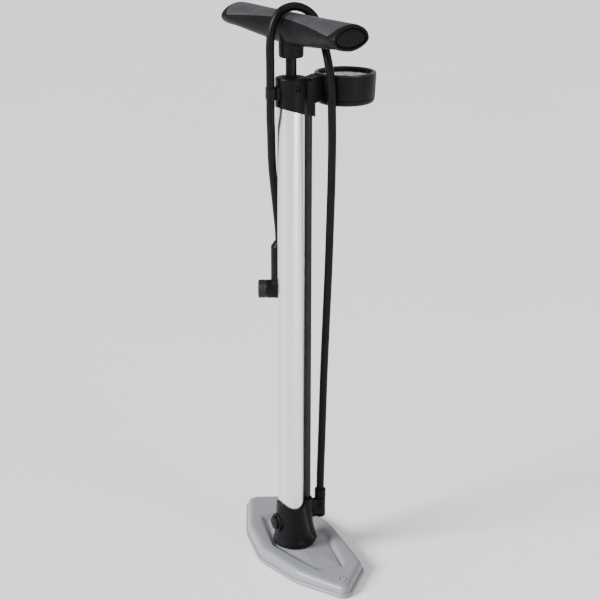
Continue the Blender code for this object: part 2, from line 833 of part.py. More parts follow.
def make_gauge():
    middle = (0, GAUGE_Y, 0)
    bottom = GAUGE_SEAM_Z + GAP
    lip = GAUGE_TOP - 0.0022
    case = turned(
        "gauge_case",
        [
            (GAUGE_R - GAUGE_WALL, lip),
            (GAUGE_R, lip),
            (GAUGE_R - 0.0012, bottom),
            (GAUGE_R - 0.0040, bottom),
        ],
        black_plastic(),
        middle,
        48,
    )
    cut(case, rod("cut_case_way", (0, 0.028, STEM_Z), 0.02, 0.0032, "Y", cutter=True, sides=16))
    turned(
        "gauge_back",
        [
            (0, GAUGE_BACK_Z + 0.0024),
            (GAUGE_R - 0.0070, GAUGE_BACK_Z + 0.0024),
            (GAUGE_R - 0.0044, GAUGE_BACK_Z + 0.0046),
            (GAUGE_R - 0.0040, GAUGE_SEAM_Z),
            (GAUGE_R - 0.0012, GAUGE_SEAM_Z),
            (GAUGE_R - 0.0018, GAUGE_BACK_Z + 0.0035),
            (GAUGE_R - 0.0065, GAUGE_BACK_Z),
            (0, GAUGE_BACK_Z),
        ],
        black_plastic(),
        middle,
        48,
    )
    turned(
        "gauge_bezel",
        [
            (GAUGE_R - 0.0044, GAUGE_TOP),
            (GAUGE_R - 0.0008, GAUGE_TOP),
            (GAUGE_R, GAUGE_TOP - 0.0008),
            (GAUGE_R, lip + GAP),
            (GAUGE_R - GAUGE_WALL - GAP, lip + GAP),
            (GAUGE_R - GAUGE_WALL - GAP, LENS_Z + 0.0010),
            (GAUGE_R - 0.0044, LENS_Z + 0.0010),
        ],
        black_plastic(),
        middle,
        48,
    )
    tube("gauge_dial", 0.0312, 0.0016, DIAL_Z, DIAL_Z + 0.0006, dial_face(), 32, middle)
    turned(
        "gauge_lens",
        [
            (0, LENS_Z + 0.0007),
            (0.0311, LENS_Z + 0.0007),
            (0.0311, DIAL_Z + 0.0006 + GAP),
            (0.0302, DIAL_Z + 0.0006 + GAP),
            (0.0302, LENS_Z),
            (0, LENS_Z),
        ],
        clear_plastic(),
        middle,
        40,
    )
    make_movement()
    make_needle()


def make_needle():
    spin = (0, GAUGE_Y)
    c, s = math.cos(NEEDLE_REST), math.sin(NEEDLE_REST)
    outline = [(-0.0010, -0.0070), (0.0010, -0.0070), (0.0005, 0.0240), (-0.0005, 0.0240)]
    outline = [(spin[0] + x * c - y * s, spin[1] + x * s + y * c) for x, y in outline]
    needle = plate("gauge_needle", outline, NEEDLE_Z, NEEDLE_Z + 0.0004, red_paint())
    join(needle, rod("add_hub", (*spin, NEEDLE_Z - 0.0002), 0.0009, 0.0026, cutter=True, sides=16))
    arbor = turned(
        "needle_arbor",
        [
            (0, NEEDLE_Z - 0.0005),
            (0.0009, NEEDLE_Z - 0.0005),
            (0.0009, SECTOR_Z + 0.0014),
            (PINION_R, SECTOR_Z + 0.0014),
            (PINION_R, SECTOR_Z - 0.0004),
            (0.0009, SECTOR_Z - 0.0004),
            (0.0009, 0.5570),
            (0, 0.5570),
        ],
        brass(),
        (*spin, 0),
        16,
    )
    hang(pivot("needle_axis", (*spin, NEEDLE_Z)), needle, arbor)


def make_movement():
    short = [(-0.008, -0.007), (0.008, -0.007), (0.008, 0.020), (-0.008, 0.020)]
    tail = [(-0.003, -0.010), (-0.003, -0.025), (0.003, -0.025), (0.003, -0.010)]
    long = short[:1] + tail + short[1:]
    sides = (("movement_back_plate", 0.5583, long), ("movement_front_plate", 0.5672, short))
    for name, low, corners in sides:
        outline = rounded([((x, GAUGE_Y + y), 0.002) for x, y in corners], 3)
        side = plate(name, outline, low, low + 0.0010, brass())
        for i, place in enumerate(((0, GAUGE_Y), SECTOR_PIVOT)):
            cut(side, rod(f"cut_{name}_{i}", (*place, low - 0.01), 0.02, 0.0014, cutter=True, sides=16))
    for i, x in enumerate((-0.0060, 0.0060)):
        low = 0.5593 + GAP
        place = (x, GAUGE_Y - 0.005, low)
        rod(f"movement_pillar_{i + 1}", place, 0.5672 - GAP - low, 0.0012, mat=brass(), sides=12)
    px, py = SECTOR_PIVOT
    fan = arc(SECTOR_PIVOT, SECTOR_R, 218, 277, 10) + [(px + 0.0022, py + 0.0008), (px - 0.0018, py + 0.0018)]
    sector = plate("sector_gear", fan, SECTOR_Z, SECTOR_Z + 0.0010, brass())
    join(sector, rod("add_sector_arbor", (*SECTOR_PIVOT, 0.5570), 0.0120, 0.0009, cutter=True, sides=16))
    hang(pivot("sector_axis", (*SECTOR_PIVOT, SECTOR_Z)), sector)
    bend = [(x, y, STEM_Z) for x, y in arc((0, GAUGE_Y), 0.0225, 252, -20, 24)]
    tube_curve("bourdon_tube", bend, 0.0024, brass(), 1)
    stem = rod("gauge_stem", (0, 0.0262, STEM_Z), 0.0170, 0.0024, "Y", mat=brass(), sides=16)
    join(stem, box("add_stem_block", (-0.0057, 0.0416, 0.5508), (0.0030, 0.0476, 0.5580), cutter=True))


# The T handle


def half_width(x):
    """The handle's half width: slim at the middle, full at the ends."""
    share = min(1.0, abs(x) / 0.095)
    return 0.0138 + 0.0082 * share**1.6


def low_z(x):
    """The handle's underside, deepest at the middle."""
    share = min(1.0, abs(x) / 0.095)
    return 0.6108 + 0.0072 * share**1.2


def seam_z(x):
    """The lower edge of the grip cover."""
    share = min(1.0, abs(x) / 0.100)
    return 0.6372 - 0.0066 * share**1.4


def handle_ring(x, shrink):
    """A squashed round section across the handle."""
    wide = half_width(x) - shrink
    top = HANDLE_TOP - shrink
    low = low_z(x) + shrink
    middle = (top + low) / 2
    tall = (top - low) / 2
    ring = []
    for k in range(24):
        a = math.tau * k / 24
        c, s = math.cos(a), math.sin(a)
        power = 2 / (2.35 - 0.60 * min(1.0, abs(x) / 0.095) ** 2)
        y = wide * math.copysign(abs(c) ** power, c)
        z = middle + tall * math.copysign(abs(s) ** power, s)
        ring.append((x, y, z))
    return ring


def handle_form(name, mat, cutter=False):
    stations = [-0.0950, -0.0650, -0.0320, 0.0, 0.0320, 0.0650, 0.0950]
    rings = [handle_ring(x, 0.0) for x in stations]
    ends = ((HANDLE_HALF - 0.0016, 0.0), (HANDLE_HALF, 0.0013))
    for x, shrink in ends:
        rings.append(handle_ring(x, shrink))
        rings.insert(0, handle_ring(-x, shrink))
    form = loft(name, rings, mat, cutter)
    form.rotation_euler.z = HANDLE_TURN
    return form


def seam_cutter(name, gap, above):
    """The room of the grip cover, or everything else."""
    half = COVER_HALF + gap
    line = [(x, seam_z(x) - gap) for x in np.linspace(-half, half, 13)]
    outline = line + [(half, 0.70), (-half, 0.70)]
    if not above:
        round_it = [(half, 0.70), (0.13, 0.70), (0.13, 0.55), (-0.13, 0.55), (-0.13, 0.70), (-half, 0.70)]
        outline = line + round_it
    cutter = slab(name, outline, -0.05, 0.05, "Y", cutter=True)
    cutter.rotation_euler.z = HANDLE_TURN
    return cutter


def make_handle():
    body = handle_form("handle_body", black_plastic())
    boss = turned(
        "add_boss",
        [
            (0, 0.6200),
            (COLLAR_R + 0.0004, 0.6200),
            (COLLAR_R, COLLAR_FOOT + 0.0010),
            (COLLAR_R - 0.0010, COLLAR_FOOT),
            (0, COLLAR_FOOT),
        ],
        sides=32,
        cutter=True,
    )
    join(body, boss)
    cut(body, seam_cutter("cut_above_seam", GAP / 2, True))
    cut(body, rod("cut_rod_socket", (0, 0, 0.58), ROD_TOP + GAP - 0.58, ROD_R + GAP, cutter=True, sides=24))
    cut(body, rod("cut_bolt", (0, 0, 0.61), 0.05, 0.0030, cutter=True, sides=16))
    cut(body, rod("cut_bolt_head", (0, 0, 0.6275), 0.05, 0.0062, cutter=True, sides=24))
    cover = handle_form("handle_grip", grip_rubber())
    cut(cover, seam_cutter("cut_below_seam", -GAP / 2, False))
    caps = []
    for i, side in enumerate((1, -1)):
        caps.append(make_end_cap(f"handle_end_cap_{i + 1}", side))
        cut(body, end_pocket(f"cut_pocket_{i}", side))
    bolt = turned(
        "handle_bolt",
        [
            (0, 0.6330),
            (0.0046, 0.6330),
            (0.0050, 0.6326),
            (0.0050, 0.6280),
            (0.0022, 0.6280),
            (0.0022, 0.6080),
            (0, 0.6080),
        ],
        steel(),
        sides=16,
    )
    cut(bolt, rod("cut_hex", (0, 0, 0.6305), 0.01, 0.0027, cutter=True, sides=6))
    return [body, cover, bolt, *caps]


def end_rings(side, grow, first, last):
    """An oval a little smaller than the handle's end, between two depths from the end."""
    rings = []
    for depth in (first, last):
        x = side * (HANDLE_HALF - depth)
        rings.append([(x, y, z) for _, y, z in handle_ring(HANDLE_HALF, 0.0042 - grow)])
    return rings


def end_pocket(name, side):
    pocket = loft(name, end_rings(side, GAP, 0.0040, -0.0040), cutter=True)
    pocket.rotation_euler.z = HANDLE_TURN
    return pocket


def make_end_cap(name, side):
    cap = loft(name, end_rings(side, 0.0, 0.0037, 0.0010), black_plastic())
    cap.rotation_euler.z = HANDLE_TURN
    return cap


# The hose and the pump head on its end


def make_hose():
    tube_curve("hose", smooth_line(HOSE_ROUTE, HOSE_POINTS), HOSE_R, rubber())
    turned(
        "hose_nut",
        [
            (0.0026, NUT_TOP),
            (NUT_R - 0.0012, NUT_TOP),
            (NUT_R, NUT_TOP - 0.0014),
            (NUT_R, NUT_FOOT),
            (0.0026, NUT_FOOT),
        ],
        black_plastic(),
        (0, OUTLET_Y, 0),
        24,
    )


def make_chuck():
    before = set(bpy.data.objects)
    here = (CHUCK_X, CHUCK_Y, 0)
    body = turned(
        "chuck_body",
        [
            (0, STEM_TOP),
            (HOSE_R + 0.0006, STEM_TOP),
            (STEM_R, STEM_TOP - 0.0068),
            (STEM_R, CHUCK_Z - 0.0040),
            (STEM_R - 0.0020, CHUCK_Z - NOZZLE_R + 0.0012),
            (0, CHUCK_Z - NOZZLE_R + 0.0012),
        ],
        black_plastic(),
        here,
        24,
    )
    place = (CHUCK_X, -0.0162, CHUCK_Z)
    barrel = rod("add_nozzle", place, 0.0171, NOZZLE_R, "Y", cutter=True, sides=28)
    add_bevel(barrel, 0.0010, 1)
    ears = box(
        "add_ears",
        (CHUCK_X - 0.0062, 0.0040, CHUCK_Z - 0.0050),
        (CHUCK_X + 0.0062, LEVER_Y + 0.0038, CHUCK_Z + 0.0050),
        cutter=True,
        bevel=0.0010,
    )
    join(body, barrel, ears)
    chamber = rod("cut_chuck_chamber", (CHUCK_X, -0.026, CHUCK_Z), 0.0285, 0.0072, "Y", cutter=True, sides=20)
    stem_way = rod("cut_stem_way", (CHUCK_X, CHUCK_Y, CHUCK_Z), 0.06, 0.0022, cutter=True, sides=12)
    back_way = rod("cut_back_way", (CHUCK_X, -0.005, CHUCK_Z), 0.02, 0.0032, "Y", cutter=True, sides=16)
    slot_low = (CHUCK_X - 0.0043, 0.0058, CHUCK_Z - 0.0100)
    slot = box("cut_slot", slot_low, (CHUCK_X + 0.0043, 0.0300, CHUCK_Z + 0.0100), cutter=True)
    pin_way = (CHUCK_X - 0.0200, LEVER_Y, CHUCK_Z)
    pin_hole = rod("cut_pin_hole", pin_way, 0.0400, 0.0015, "X", cutter=True, sides=16)
    cut(body, chamber, stem_way, back_way, slot, pin_hole)
    make_nozzle_nut()
    grommet = tube("valve_grommet", 0.0066, 0.0038, 0.0, 0.0149, rubber(), 24)
    grommet.location = (CHUCK_X, -0.0234, CHUCK_Z)
    grommet.rotation_euler = AXIS_TURN["Y"].to_euler()
    plunger = turned(
        "valve_plunger",
        [
            (0, 0.0130),
            (0.0026, 0.0130),
            (0.0026, 0.0032),
            (0.0066, 0.0032),
            (0.0066, 0.0000),
            (0, 0.0000),
        ],
        black_plastic(),
        (CHUCK_X, -0.0062, CHUCK_Z),
        20,
        "Y",
    )
    hang(pivot("plunger_axis", (CHUCK_X, CHUCK_Y, CHUCK_Z)), plunger)
    make_lever()
    made = [obj for obj in bpy.data.objects if obj not in before and obj.parent is None]
    stem_axis = pivot("stem_axis", here)
    hang(stem_axis, *made)
    stem_axis.rotation_euler.z = CHUCK_TURN


def make_nozzle_nut():
    nut = turned(
        "nozzle_nut",
        [
            (0.0044, 0.0000),
            (0.0044, -0.0095),
            (0.0084, -0.0095),
            (NOZZLE_R, -0.0082),
            (NOZZLE_R, -0.0006),
            (NOZZLE_R - 0.0006, 0.0000),
        ][::-1],
        grip_rubber(),
        (CHUCK_X, -0.0165, CHUCK_Z),
        28,
        "Y",
    )
    inside = rod("cut_nut_inside", (CHUCK_X, -0.0239, CHUCK_Z), 0.02, 0.0070, "Y", cutter=True, sides=20)
    return cut(nut, inside)


def make_lever():
    """The lock lever, folded up along the stem, on its pin."""
    pin_way = (CHUCK_X - 0.0060, LEVER_Y, CHUCK_Z)
    rod("lever_pin", pin_way, 0.0120, 0.0012, "X", mat=steel(), sides=16)
    profile = [
        (LEVER_Y - 0.0024, CHUCK_Z - 0.0026),
        (LEVER_Y + 0.0022, CHUCK_Z - 0.0028),
        (LEVER_Y + 0.0042, CHUCK_Z + 0.0010),
        (LEVER_Y + 0.0046, CHUCK_Z + 0.0120),
        (LEVER_Y + 0.0040, CHUCK_Z + 0.0330),
        (LEVER_Y + 0.0022, CHUCK_Z + 0.0345),
        (LEVER_Y + 0.0010, CHUCK_Z + 0.0330),
        (LEVER_Y + 0.0006, CHUCK_Z + 0.0120),
        (LEVER_Y - 0.0022, CHUCK_Z + 0.0046),
    ]
    low, high = CHUCK_X - 0.0040, CHUCK_X + 0.0040
    lever = slab("chuck_lever", profile, low, high, "X", black_plastic(), bevel=0.0006)
    hole_way = (CHUCK_X - 0.0200, LEVER_Y, CHUCK_Z)
    cut(lever, rod("cut_lever_hole", hole_way, 0.0400, 0.0015, "X", cutter=True, sides=16))
    hang(pivot("lever_axis", (CHUCK_X, LEVER_Y, CHUCK_Z)), lever)


def main():
    make_sole()
    make_shell()
    make_base_screws()
    make_socket()
    make_valve()
    make_plug()
    make_barrel()
    moving = make_piston()
    make_head()
    make_head_parts()
    make_channel()
    make_gauge()
    moving += make_handle()
    hang(pivot("stroke_axis", (0, 0, HEAD_TOP)), *moving)
    make_hose()
    make_chuck()


if __name__ == "__main__":
    main()
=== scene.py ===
import json
import math

import bmesh
import bpy
import numpy as np
from mathutils import Matrix, Vector


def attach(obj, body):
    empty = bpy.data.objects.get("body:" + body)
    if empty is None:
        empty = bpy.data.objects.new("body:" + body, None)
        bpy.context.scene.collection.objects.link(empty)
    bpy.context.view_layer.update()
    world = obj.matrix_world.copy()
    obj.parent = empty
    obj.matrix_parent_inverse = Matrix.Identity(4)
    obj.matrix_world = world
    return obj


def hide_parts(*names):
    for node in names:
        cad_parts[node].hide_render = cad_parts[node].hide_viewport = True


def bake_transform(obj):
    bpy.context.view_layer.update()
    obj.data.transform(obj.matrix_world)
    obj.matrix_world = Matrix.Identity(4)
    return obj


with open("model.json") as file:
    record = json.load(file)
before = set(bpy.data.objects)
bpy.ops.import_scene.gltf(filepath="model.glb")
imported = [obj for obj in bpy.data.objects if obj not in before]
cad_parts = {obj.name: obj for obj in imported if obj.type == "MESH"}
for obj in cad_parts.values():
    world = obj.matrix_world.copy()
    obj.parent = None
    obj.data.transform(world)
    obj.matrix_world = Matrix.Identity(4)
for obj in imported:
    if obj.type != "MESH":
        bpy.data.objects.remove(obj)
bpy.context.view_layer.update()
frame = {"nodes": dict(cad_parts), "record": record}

PUMP = "pump"
HANDLE = "handle_and_rod"

# Places and sizes that repeat the CAD model's, in metres
BARREL_R = 0.0150
ROD_R = 0.0060
HEAD_TOP = 0.5745
HEAD_FOOT = 0.5300
BARREL_TOP = 0.5600
GAUGE_Y = 0.0669
GAUGE_R = 0.0340
OUTLET_Y = 0.0393
NUT_TOP = 0.0780
CHANNEL_Y = 0.0203
CHANNEL_R = 0.0052
CHANNEL_WAY_R = 0.0055
HOSE_R = 0.0046
CHUCK = (-0.0254, -0.0018, 0.3285)
STEM_TOP = 0.3856
STEM_R = 0.0095
CHUCK_TURN = math.radians(-28)
GAP = 0.0003
SHELL_FOOT = 0.0053
CREST_Z = 0.0172
CREST_DROP = 0.0042
TIP_X = 0.1215
MARK_X = 0.1018
MARK_Y = 0.0111
MARK_R = 0.0042
SCREW_PLACES = [(0.0125, -0.0060), (0.0125, 0.0125), (-0.0125, 0.0125), (-0.0125, -0.0060)]
VALVE_Z = 0.0490
PLUG_Z = 0.0465
HEAD_SCREW_Z = 0.5640
CLIP_Y = -0.0250
CLIP_LOW = 0.5520
CLIP_HIGH = 0.5650
HANDLE_TOP = 0.6424
HANDLE_REACH = 0.095
HANDLE_TURN = math.radians(4.5)
DIAL_Z = 0.5692
NEEDLE_Z = 0.5697
NEEDLE_REST = math.radians(135)
NEEDLE_SWEEP = math.radians(270)
DIAL_STEPS = 8
DIAL_STEP = 20
PRINT_HEIGHT = 0.00004
LEVER_Y = 0.0098
NOZZLE_R = 0.0106
FOOT = [
    ((0.0000, -0.0432), 0.040),
    ((0.0660, -0.0295), 0.060),
    ((TIP_X, 0.0018), 0.009),
    ((0.1208, 0.0130), 0.010),
    ((0.0800, 0.0550), 0.013),
    ((-0.0250, 0.0695), 0.150),
    ((-0.1185, 0.0530), 0.016),
    ((-0.1368, 0.0205), 0.016),
    ((-0.1345, 0.0066), 0.010),
    ((-0.0640, -0.0285), 0.060),
]
DISH_HALF = [
    ((0.0000, -0.0245), 0.014),
    ((0.0470, -0.0120), 0.040),
    ((0.0750, -0.0032), 0.005),
    ((0.0768, 0.0120), 0.020),
    ((0.0775, 0.0305), 0.005),
    ((0.0000, 0.0520), 0.030),
]
# The foot's outer wall: distance in from the outline, share of the height
WALL = [(0.0022, 0.0), (0.0026, 0.35), (0.0032, 0.58), (0.0040, 0.76), (0.0052, 0.89), (0.0070, 0.97)]
WALL += [(0.0098, 1.0)]
# The dish's wall: distance in from its outline, depth under the rim
DISH_WALL = [(-0.0012, 0.0), (-0.0005, 0.0002), (0.0000, 0.0008), (0.0005, 0.0032), (0.0009, 0.0052)]
DISH_WALL += [(0.0014, 0.0064), (0.0022, 0.0064), (0.0030, 0.0050), (0.0040, 0.0043)]
DISH_SOFT = [(-0.0012, 0.0), (0.0004, 0.0004), (0.0018, 0.0012), (0.0030, 0.0021), (0.0042, 0.0029)]
DISH_SOFT += [(0.0052, 0.0035), (0.0060, 0.0038), (0.0068, 0.0040), (0.0076, 0.0040)]
# The sole plate's edge: distance in from the outline, height
SOLE_EDGE = [(0.0120, 0.0), (0.0012, 0.0), (0.0004, 0.0003), (0.0, 0.0010), (0.0, 0.0036)]
SOLE_EDGE += [(0.0004, 0.0045), (0.0012, 0.0050), (0.0120, 0.0050)]
SOCKET_FORM = [  # height, radius and how far back the round is
    (0.0178, 0.0247, 0.0040),
    (0.0184, 0.0252, 0.0040),
    (0.0195, 0.0252, 0.0040),
    (0.0225, 0.0246, 0.0038),
    (0.0262, 0.0228, 0.0030),
    (0.0300, 0.0219, 0.0024),
    (0.0400, 0.0202, 0.0012),
    (0.0560, 0.0182, 0.0004),
    (0.0660, 0.0176, 0.0000),
    (0.0780, 0.0174, 0.0000),
]
WORLD_LIGHT = 0.5
SUN_LIGHT = 7.0
HOSE_ROUTE = [
    (0.0000, 0.0393, NUT_TOP + GAP),
    (0.0002, 0.0395, 0.1000),
    (0.0010, 0.0403, 0.1408),
    (0.0022, 0.0405, 0.1750),
    (0.0040, 0.0406, 0.2184),
    (0.0078, 0.0412, 0.2937),
    (0.0118, 0.0413, 0.3548),
    (0.0158, 0.0407, 0.4143),
    (0.0190, 0.0400, 0.4606),
    (0.0235, 0.0378, 0.5058),
    (0.0245, 0.0366, 0.5400),
    (0.0250, 0.0358, 0.5640),
    (0.0210, 0.0337, 0.5890),
    (0.0130, 0.0336, 0.6060),
    (0.0080, 0.0304, 0.6210),
    (0.0045, 0.0243, 0.6375),
    (0.0020, 0.0131, 0.6462),
    (0.0010, 0.0010, 0.6486),
    (0.0000, -0.0121, 0.6444),
    (-0.0004, -0.0190, 0.6355),
    (-0.0004, -0.0230, 0.6250),
    (0.0000, -0.0251, 0.6100),
    (0.0000, -0.0250, 0.5900),
    (0.0000, -0.0250, 0.5720),
    (0.0000, -0.0250, 0.5585),
    (0.0000, -0.0250, 0.5450),
    (-0.0030, -0.0234, 0.5310),
    (-0.0100, -0.0193, 0.5150),
    (-0.0147, -0.0164, 0.4934),
    (-0.0183, -0.0137, 0.4740),
    (-0.0210, -0.0105, 0.4550),
    (-0.0232, -0.0070, 0.4330),
    (-0.0247, -0.0038, 0.4103),
    (-0.0254, -0.0020, 0.3950),
    (CHUCK[0], CHUCK[1], STEM_TOP + GAP),
]


# The camera, at the photograph's angle


def make_camera():
    data = bpy.data.cameras.new("camera")
    data.lens = 83.04
    data.sensor_width = 36.0
    data.shift_x = 0.01475
    data.shift_y = 0.0017
    cam = bpy.data.objects.new("camera", data)
    cam.location = (1.3041, -0.6934, 0.8295)
    cam.rotation_euler = (math.radians(71), 0, math.radians(62))
    bpy.context.scene.collection.objects.link(cam)
    bpy.context.scene.camera = cam


make_camera()


# Mesh tools


def mesh_from(name, verts, faces, angle=40.0):
    mesh = bpy.data.meshes.new(name)
    mesh.from_pydata([tuple(v) for v in verts], [], faces)
    bm = bmesh.new()
    bm.from_mesh(mesh)
    bmesh.ops.recalc_face_normals(bm, faces=bm.faces[:])
    bm.to_mesh(mesh)
    bm.free()
    mesh.shade_smooth()
    mesh.set_sharp_from_angle(angle=math.radians(angle))
    return mesh


def catmull(p, k, t):
    """One point of the centripetal curve through four points."""

    def mix(a, b, low, high):
        return ((high - t) * a + (t - low) * b) / (high - low)

    a = [mix(p[i], p[i + 1], k[i], k[i + 1]) for i in range(3)]
    b = [mix(a[i], a[i + 1], k[i], k[i + 2]) for i in range(2)]
    return mix(b[0], b[1], k[1], k[2])


def smooth_line(route, count):
    """Evenly spaced points on the smooth curve through a route's points."""
    p = np.array(route, float)
    p = np.vstack([2 * p[0] - p[1], p, 2 * p[-1] - p[-2]])
    fine = []
    for i in range(1, len(p) - 2):
        knots = [0.0]
        for a, b in ((i - 1, i), (i, i + 1), (i + 1, i + 2)):
            knots.append(knots[-1] + np.linalg.norm(p[b] - p[a]) ** 0.5)
        for t in np.linspace(knots[1], knots[2], 24, endpoint=False):
            fine.append(catmull(p[i - 1 : i + 3], knots, t))
    fine.append(p[-2])
    fine = np.array(fine)
    along = np.concatenate([[0], np.cumsum(np.linalg.norm(np.diff(fine, axis=0), axis=1))])
    at = np.linspace(0, along[-1], count)
    return np.array([[np.interp(s, along, fine[:, k]) for k in range(3)] for s in at])


def sweep(points, radii, sides):
    """A round tube through points, with a radius at each and closed ends."""
    points = np.asarray(points, float)
    count = len(points)
    tangent = np.gradient(points, axis=0)
    tangent /= np.linalg.norm(tangent, axis=1)[:, None]
    up = np.cross(tangent[0], (0.0, 0.0, 1.0))
    if np.linalg.norm(up) < 0.1:
        up = np.cross(tangent[0], (1.0, 0.0, 0.0))
    up /= np.linalg.norm(up)
    verts = []
    for i in range(count):
        up = up - tangent[i] * np.dot(up, tangent[i])
        up /= np.linalg.norm(up)
        side = np.cross(tangent[i], up)
        for k in range(sides):
            a = math.tau * k / sides
            verts.append(points[i] + radii[i] * (math.cos(a) * up + math.sin(a) * side))
    faces = []
    for i in range(count - 1):
        for k in range(sides):
            j = (k + 1) % sides
            faces.append((i * sides + k, i * sides + j, (i + 1) * sides + j, (i + 1) * sides + k))
    faces.append(tuple(range(sides))[::-1])
    faces.append(tuple((count - 1) * sides + k for k in range(sides)))
    return verts, faces


def spot(name, place_at, target, size, power):
    data = bpy.data.lights.new(name, "AREA")
    data.shape = "RECTANGLE"
    data.size, data.size_y = size
    data.energy = power
    lamp = bpy.data.objects.new(name, data)
    lamp.location = place_at
    lamp.rotation_euler = (Vector(target) - Vector(place_at)).to_track_quat("-Z", "Y").to_euler()
    bpy.context.scene.collection.objects.link(lamp)


# Materials


class Look:
    """A Principled material and the few nodes that give it grain and variation."""

    def __init__(self, name, color, rough, metallic=0.0, **sockets):
        self.mat = bpy.data.materials.new(name)
        self.mat.use_nodes = True
        self.tree = self.mat.node_tree
        self.shader = self.tree.nodes["Principled BSDF"]
        self.color = color
        self.rough = rough
        self.set(**{"Base Color": (*color, 1.0), "Roughness": rough, "Metallic": metallic}, **sockets)
        coords = self.node("ShaderNodeTexCoord")
        self.coords = coords.outputs["Object"]
        self.height = None

    def set(self, **values):
        for socket, value in values.items():
            self.shader.inputs[socket.replace("_", " ")].default_value = value

    def node(self, kind, **values):
        made = self.tree.nodes.new(kind)
        for key, value in values.items():
            if key in made.inputs:
                made.inputs[key].default_value = value
            else:
                setattr(made, key, value)
        return made

    def link(self, a, b):
        self.tree.links.new(a, b)

    def noise(self, scale, detail=4.0, stretch=(1, 1, 1)):
        mapping = self.node("ShaderNodeMapping")
        mapping.inputs["Scale"].default_value = stretch
        self.link(self.coords, mapping.inputs["Vector"])
        noise = self.node("ShaderNodeTexNoise", Scale=scale, Detail=detail, Roughness=0.55)
        self.link(mapping.outputs["Vector"], noise.inputs["Vector"])
        return noise.outputs["Fac"]

    def cells(self, scale):
        cells = self.node("ShaderNodeTexVoronoi", Scale=scale)
        self.link(self.coords, cells.inputs["Vector"])
        return cells.outputs["Distance"]

    def remap(self, value, low, high, start=0.35, end=0.65):
        ramp = self.node("ShaderNodeMapRange")
        ramp.inputs["From Min"].default_value = start
        ramp.inputs["From Max"].default_value = end
        ramp.inputs["To Min"].default_value = low
        ramp.inputs["To Max"].default_value = high
        self.link(value, ramp.inputs["Value"])
        return ramp.outputs["Result"]

    def vary_color(self, value, dark, light, start=0.35, end=0.65):
        ramp = self.node("ShaderNodeValToRGB")
        ramp.color_ramp.elements[0].position = start
        ramp.color_ramp.elements[1].position = end
        ramp.color_ramp.elements[0].color = (*[c * dark for c in self.color], 1.0)
        ramp.color_ramp.elements[1].color = (*[min(1.0, c * light) for c in self.color], 1.0)
        self.link(value, ramp.inputs["Fac"])
        self.link(ramp.outputs["Color"], self.shader.inputs["Base Color"])
        return self

    def vary_rough(self, value, low, high, start=0.35, end=0.65):
        self.link(self.remap(value, low, high, start, end), self.shader.inputs["Roughness"])
        return self

    def bump(self, value, depth, strength=1.0):
        node = self.node("ShaderNodeBump", Strength=strength, Distance=depth)
        self.link(value, node.inputs["Height"])
        if self.height is not None:
            self.link(self.height, node.inputs["Normal"])
        self.height = node.outputs["Normal"]
        self.link(self.height, self.shader.inputs["Normal"])
        return self


def moulded(name, color, rough, grain=0.00003, gloss=0.22):
    """Moulded plastic: a fine eroded texture, a little uneven in gloss."""
    look = Look(name, color, rough, Specular_IOR_Level=gloss)
    look.vary_color(look.noise(60.0, 3.0), 0.82, 1.25)
    look.vary_rough(look.noise(35.0, 5.0), rough - 0.06, rough + 0.08)
    look.bump(look.noise(2600.0, 2.0), grain, 0.6)
    return look.mat


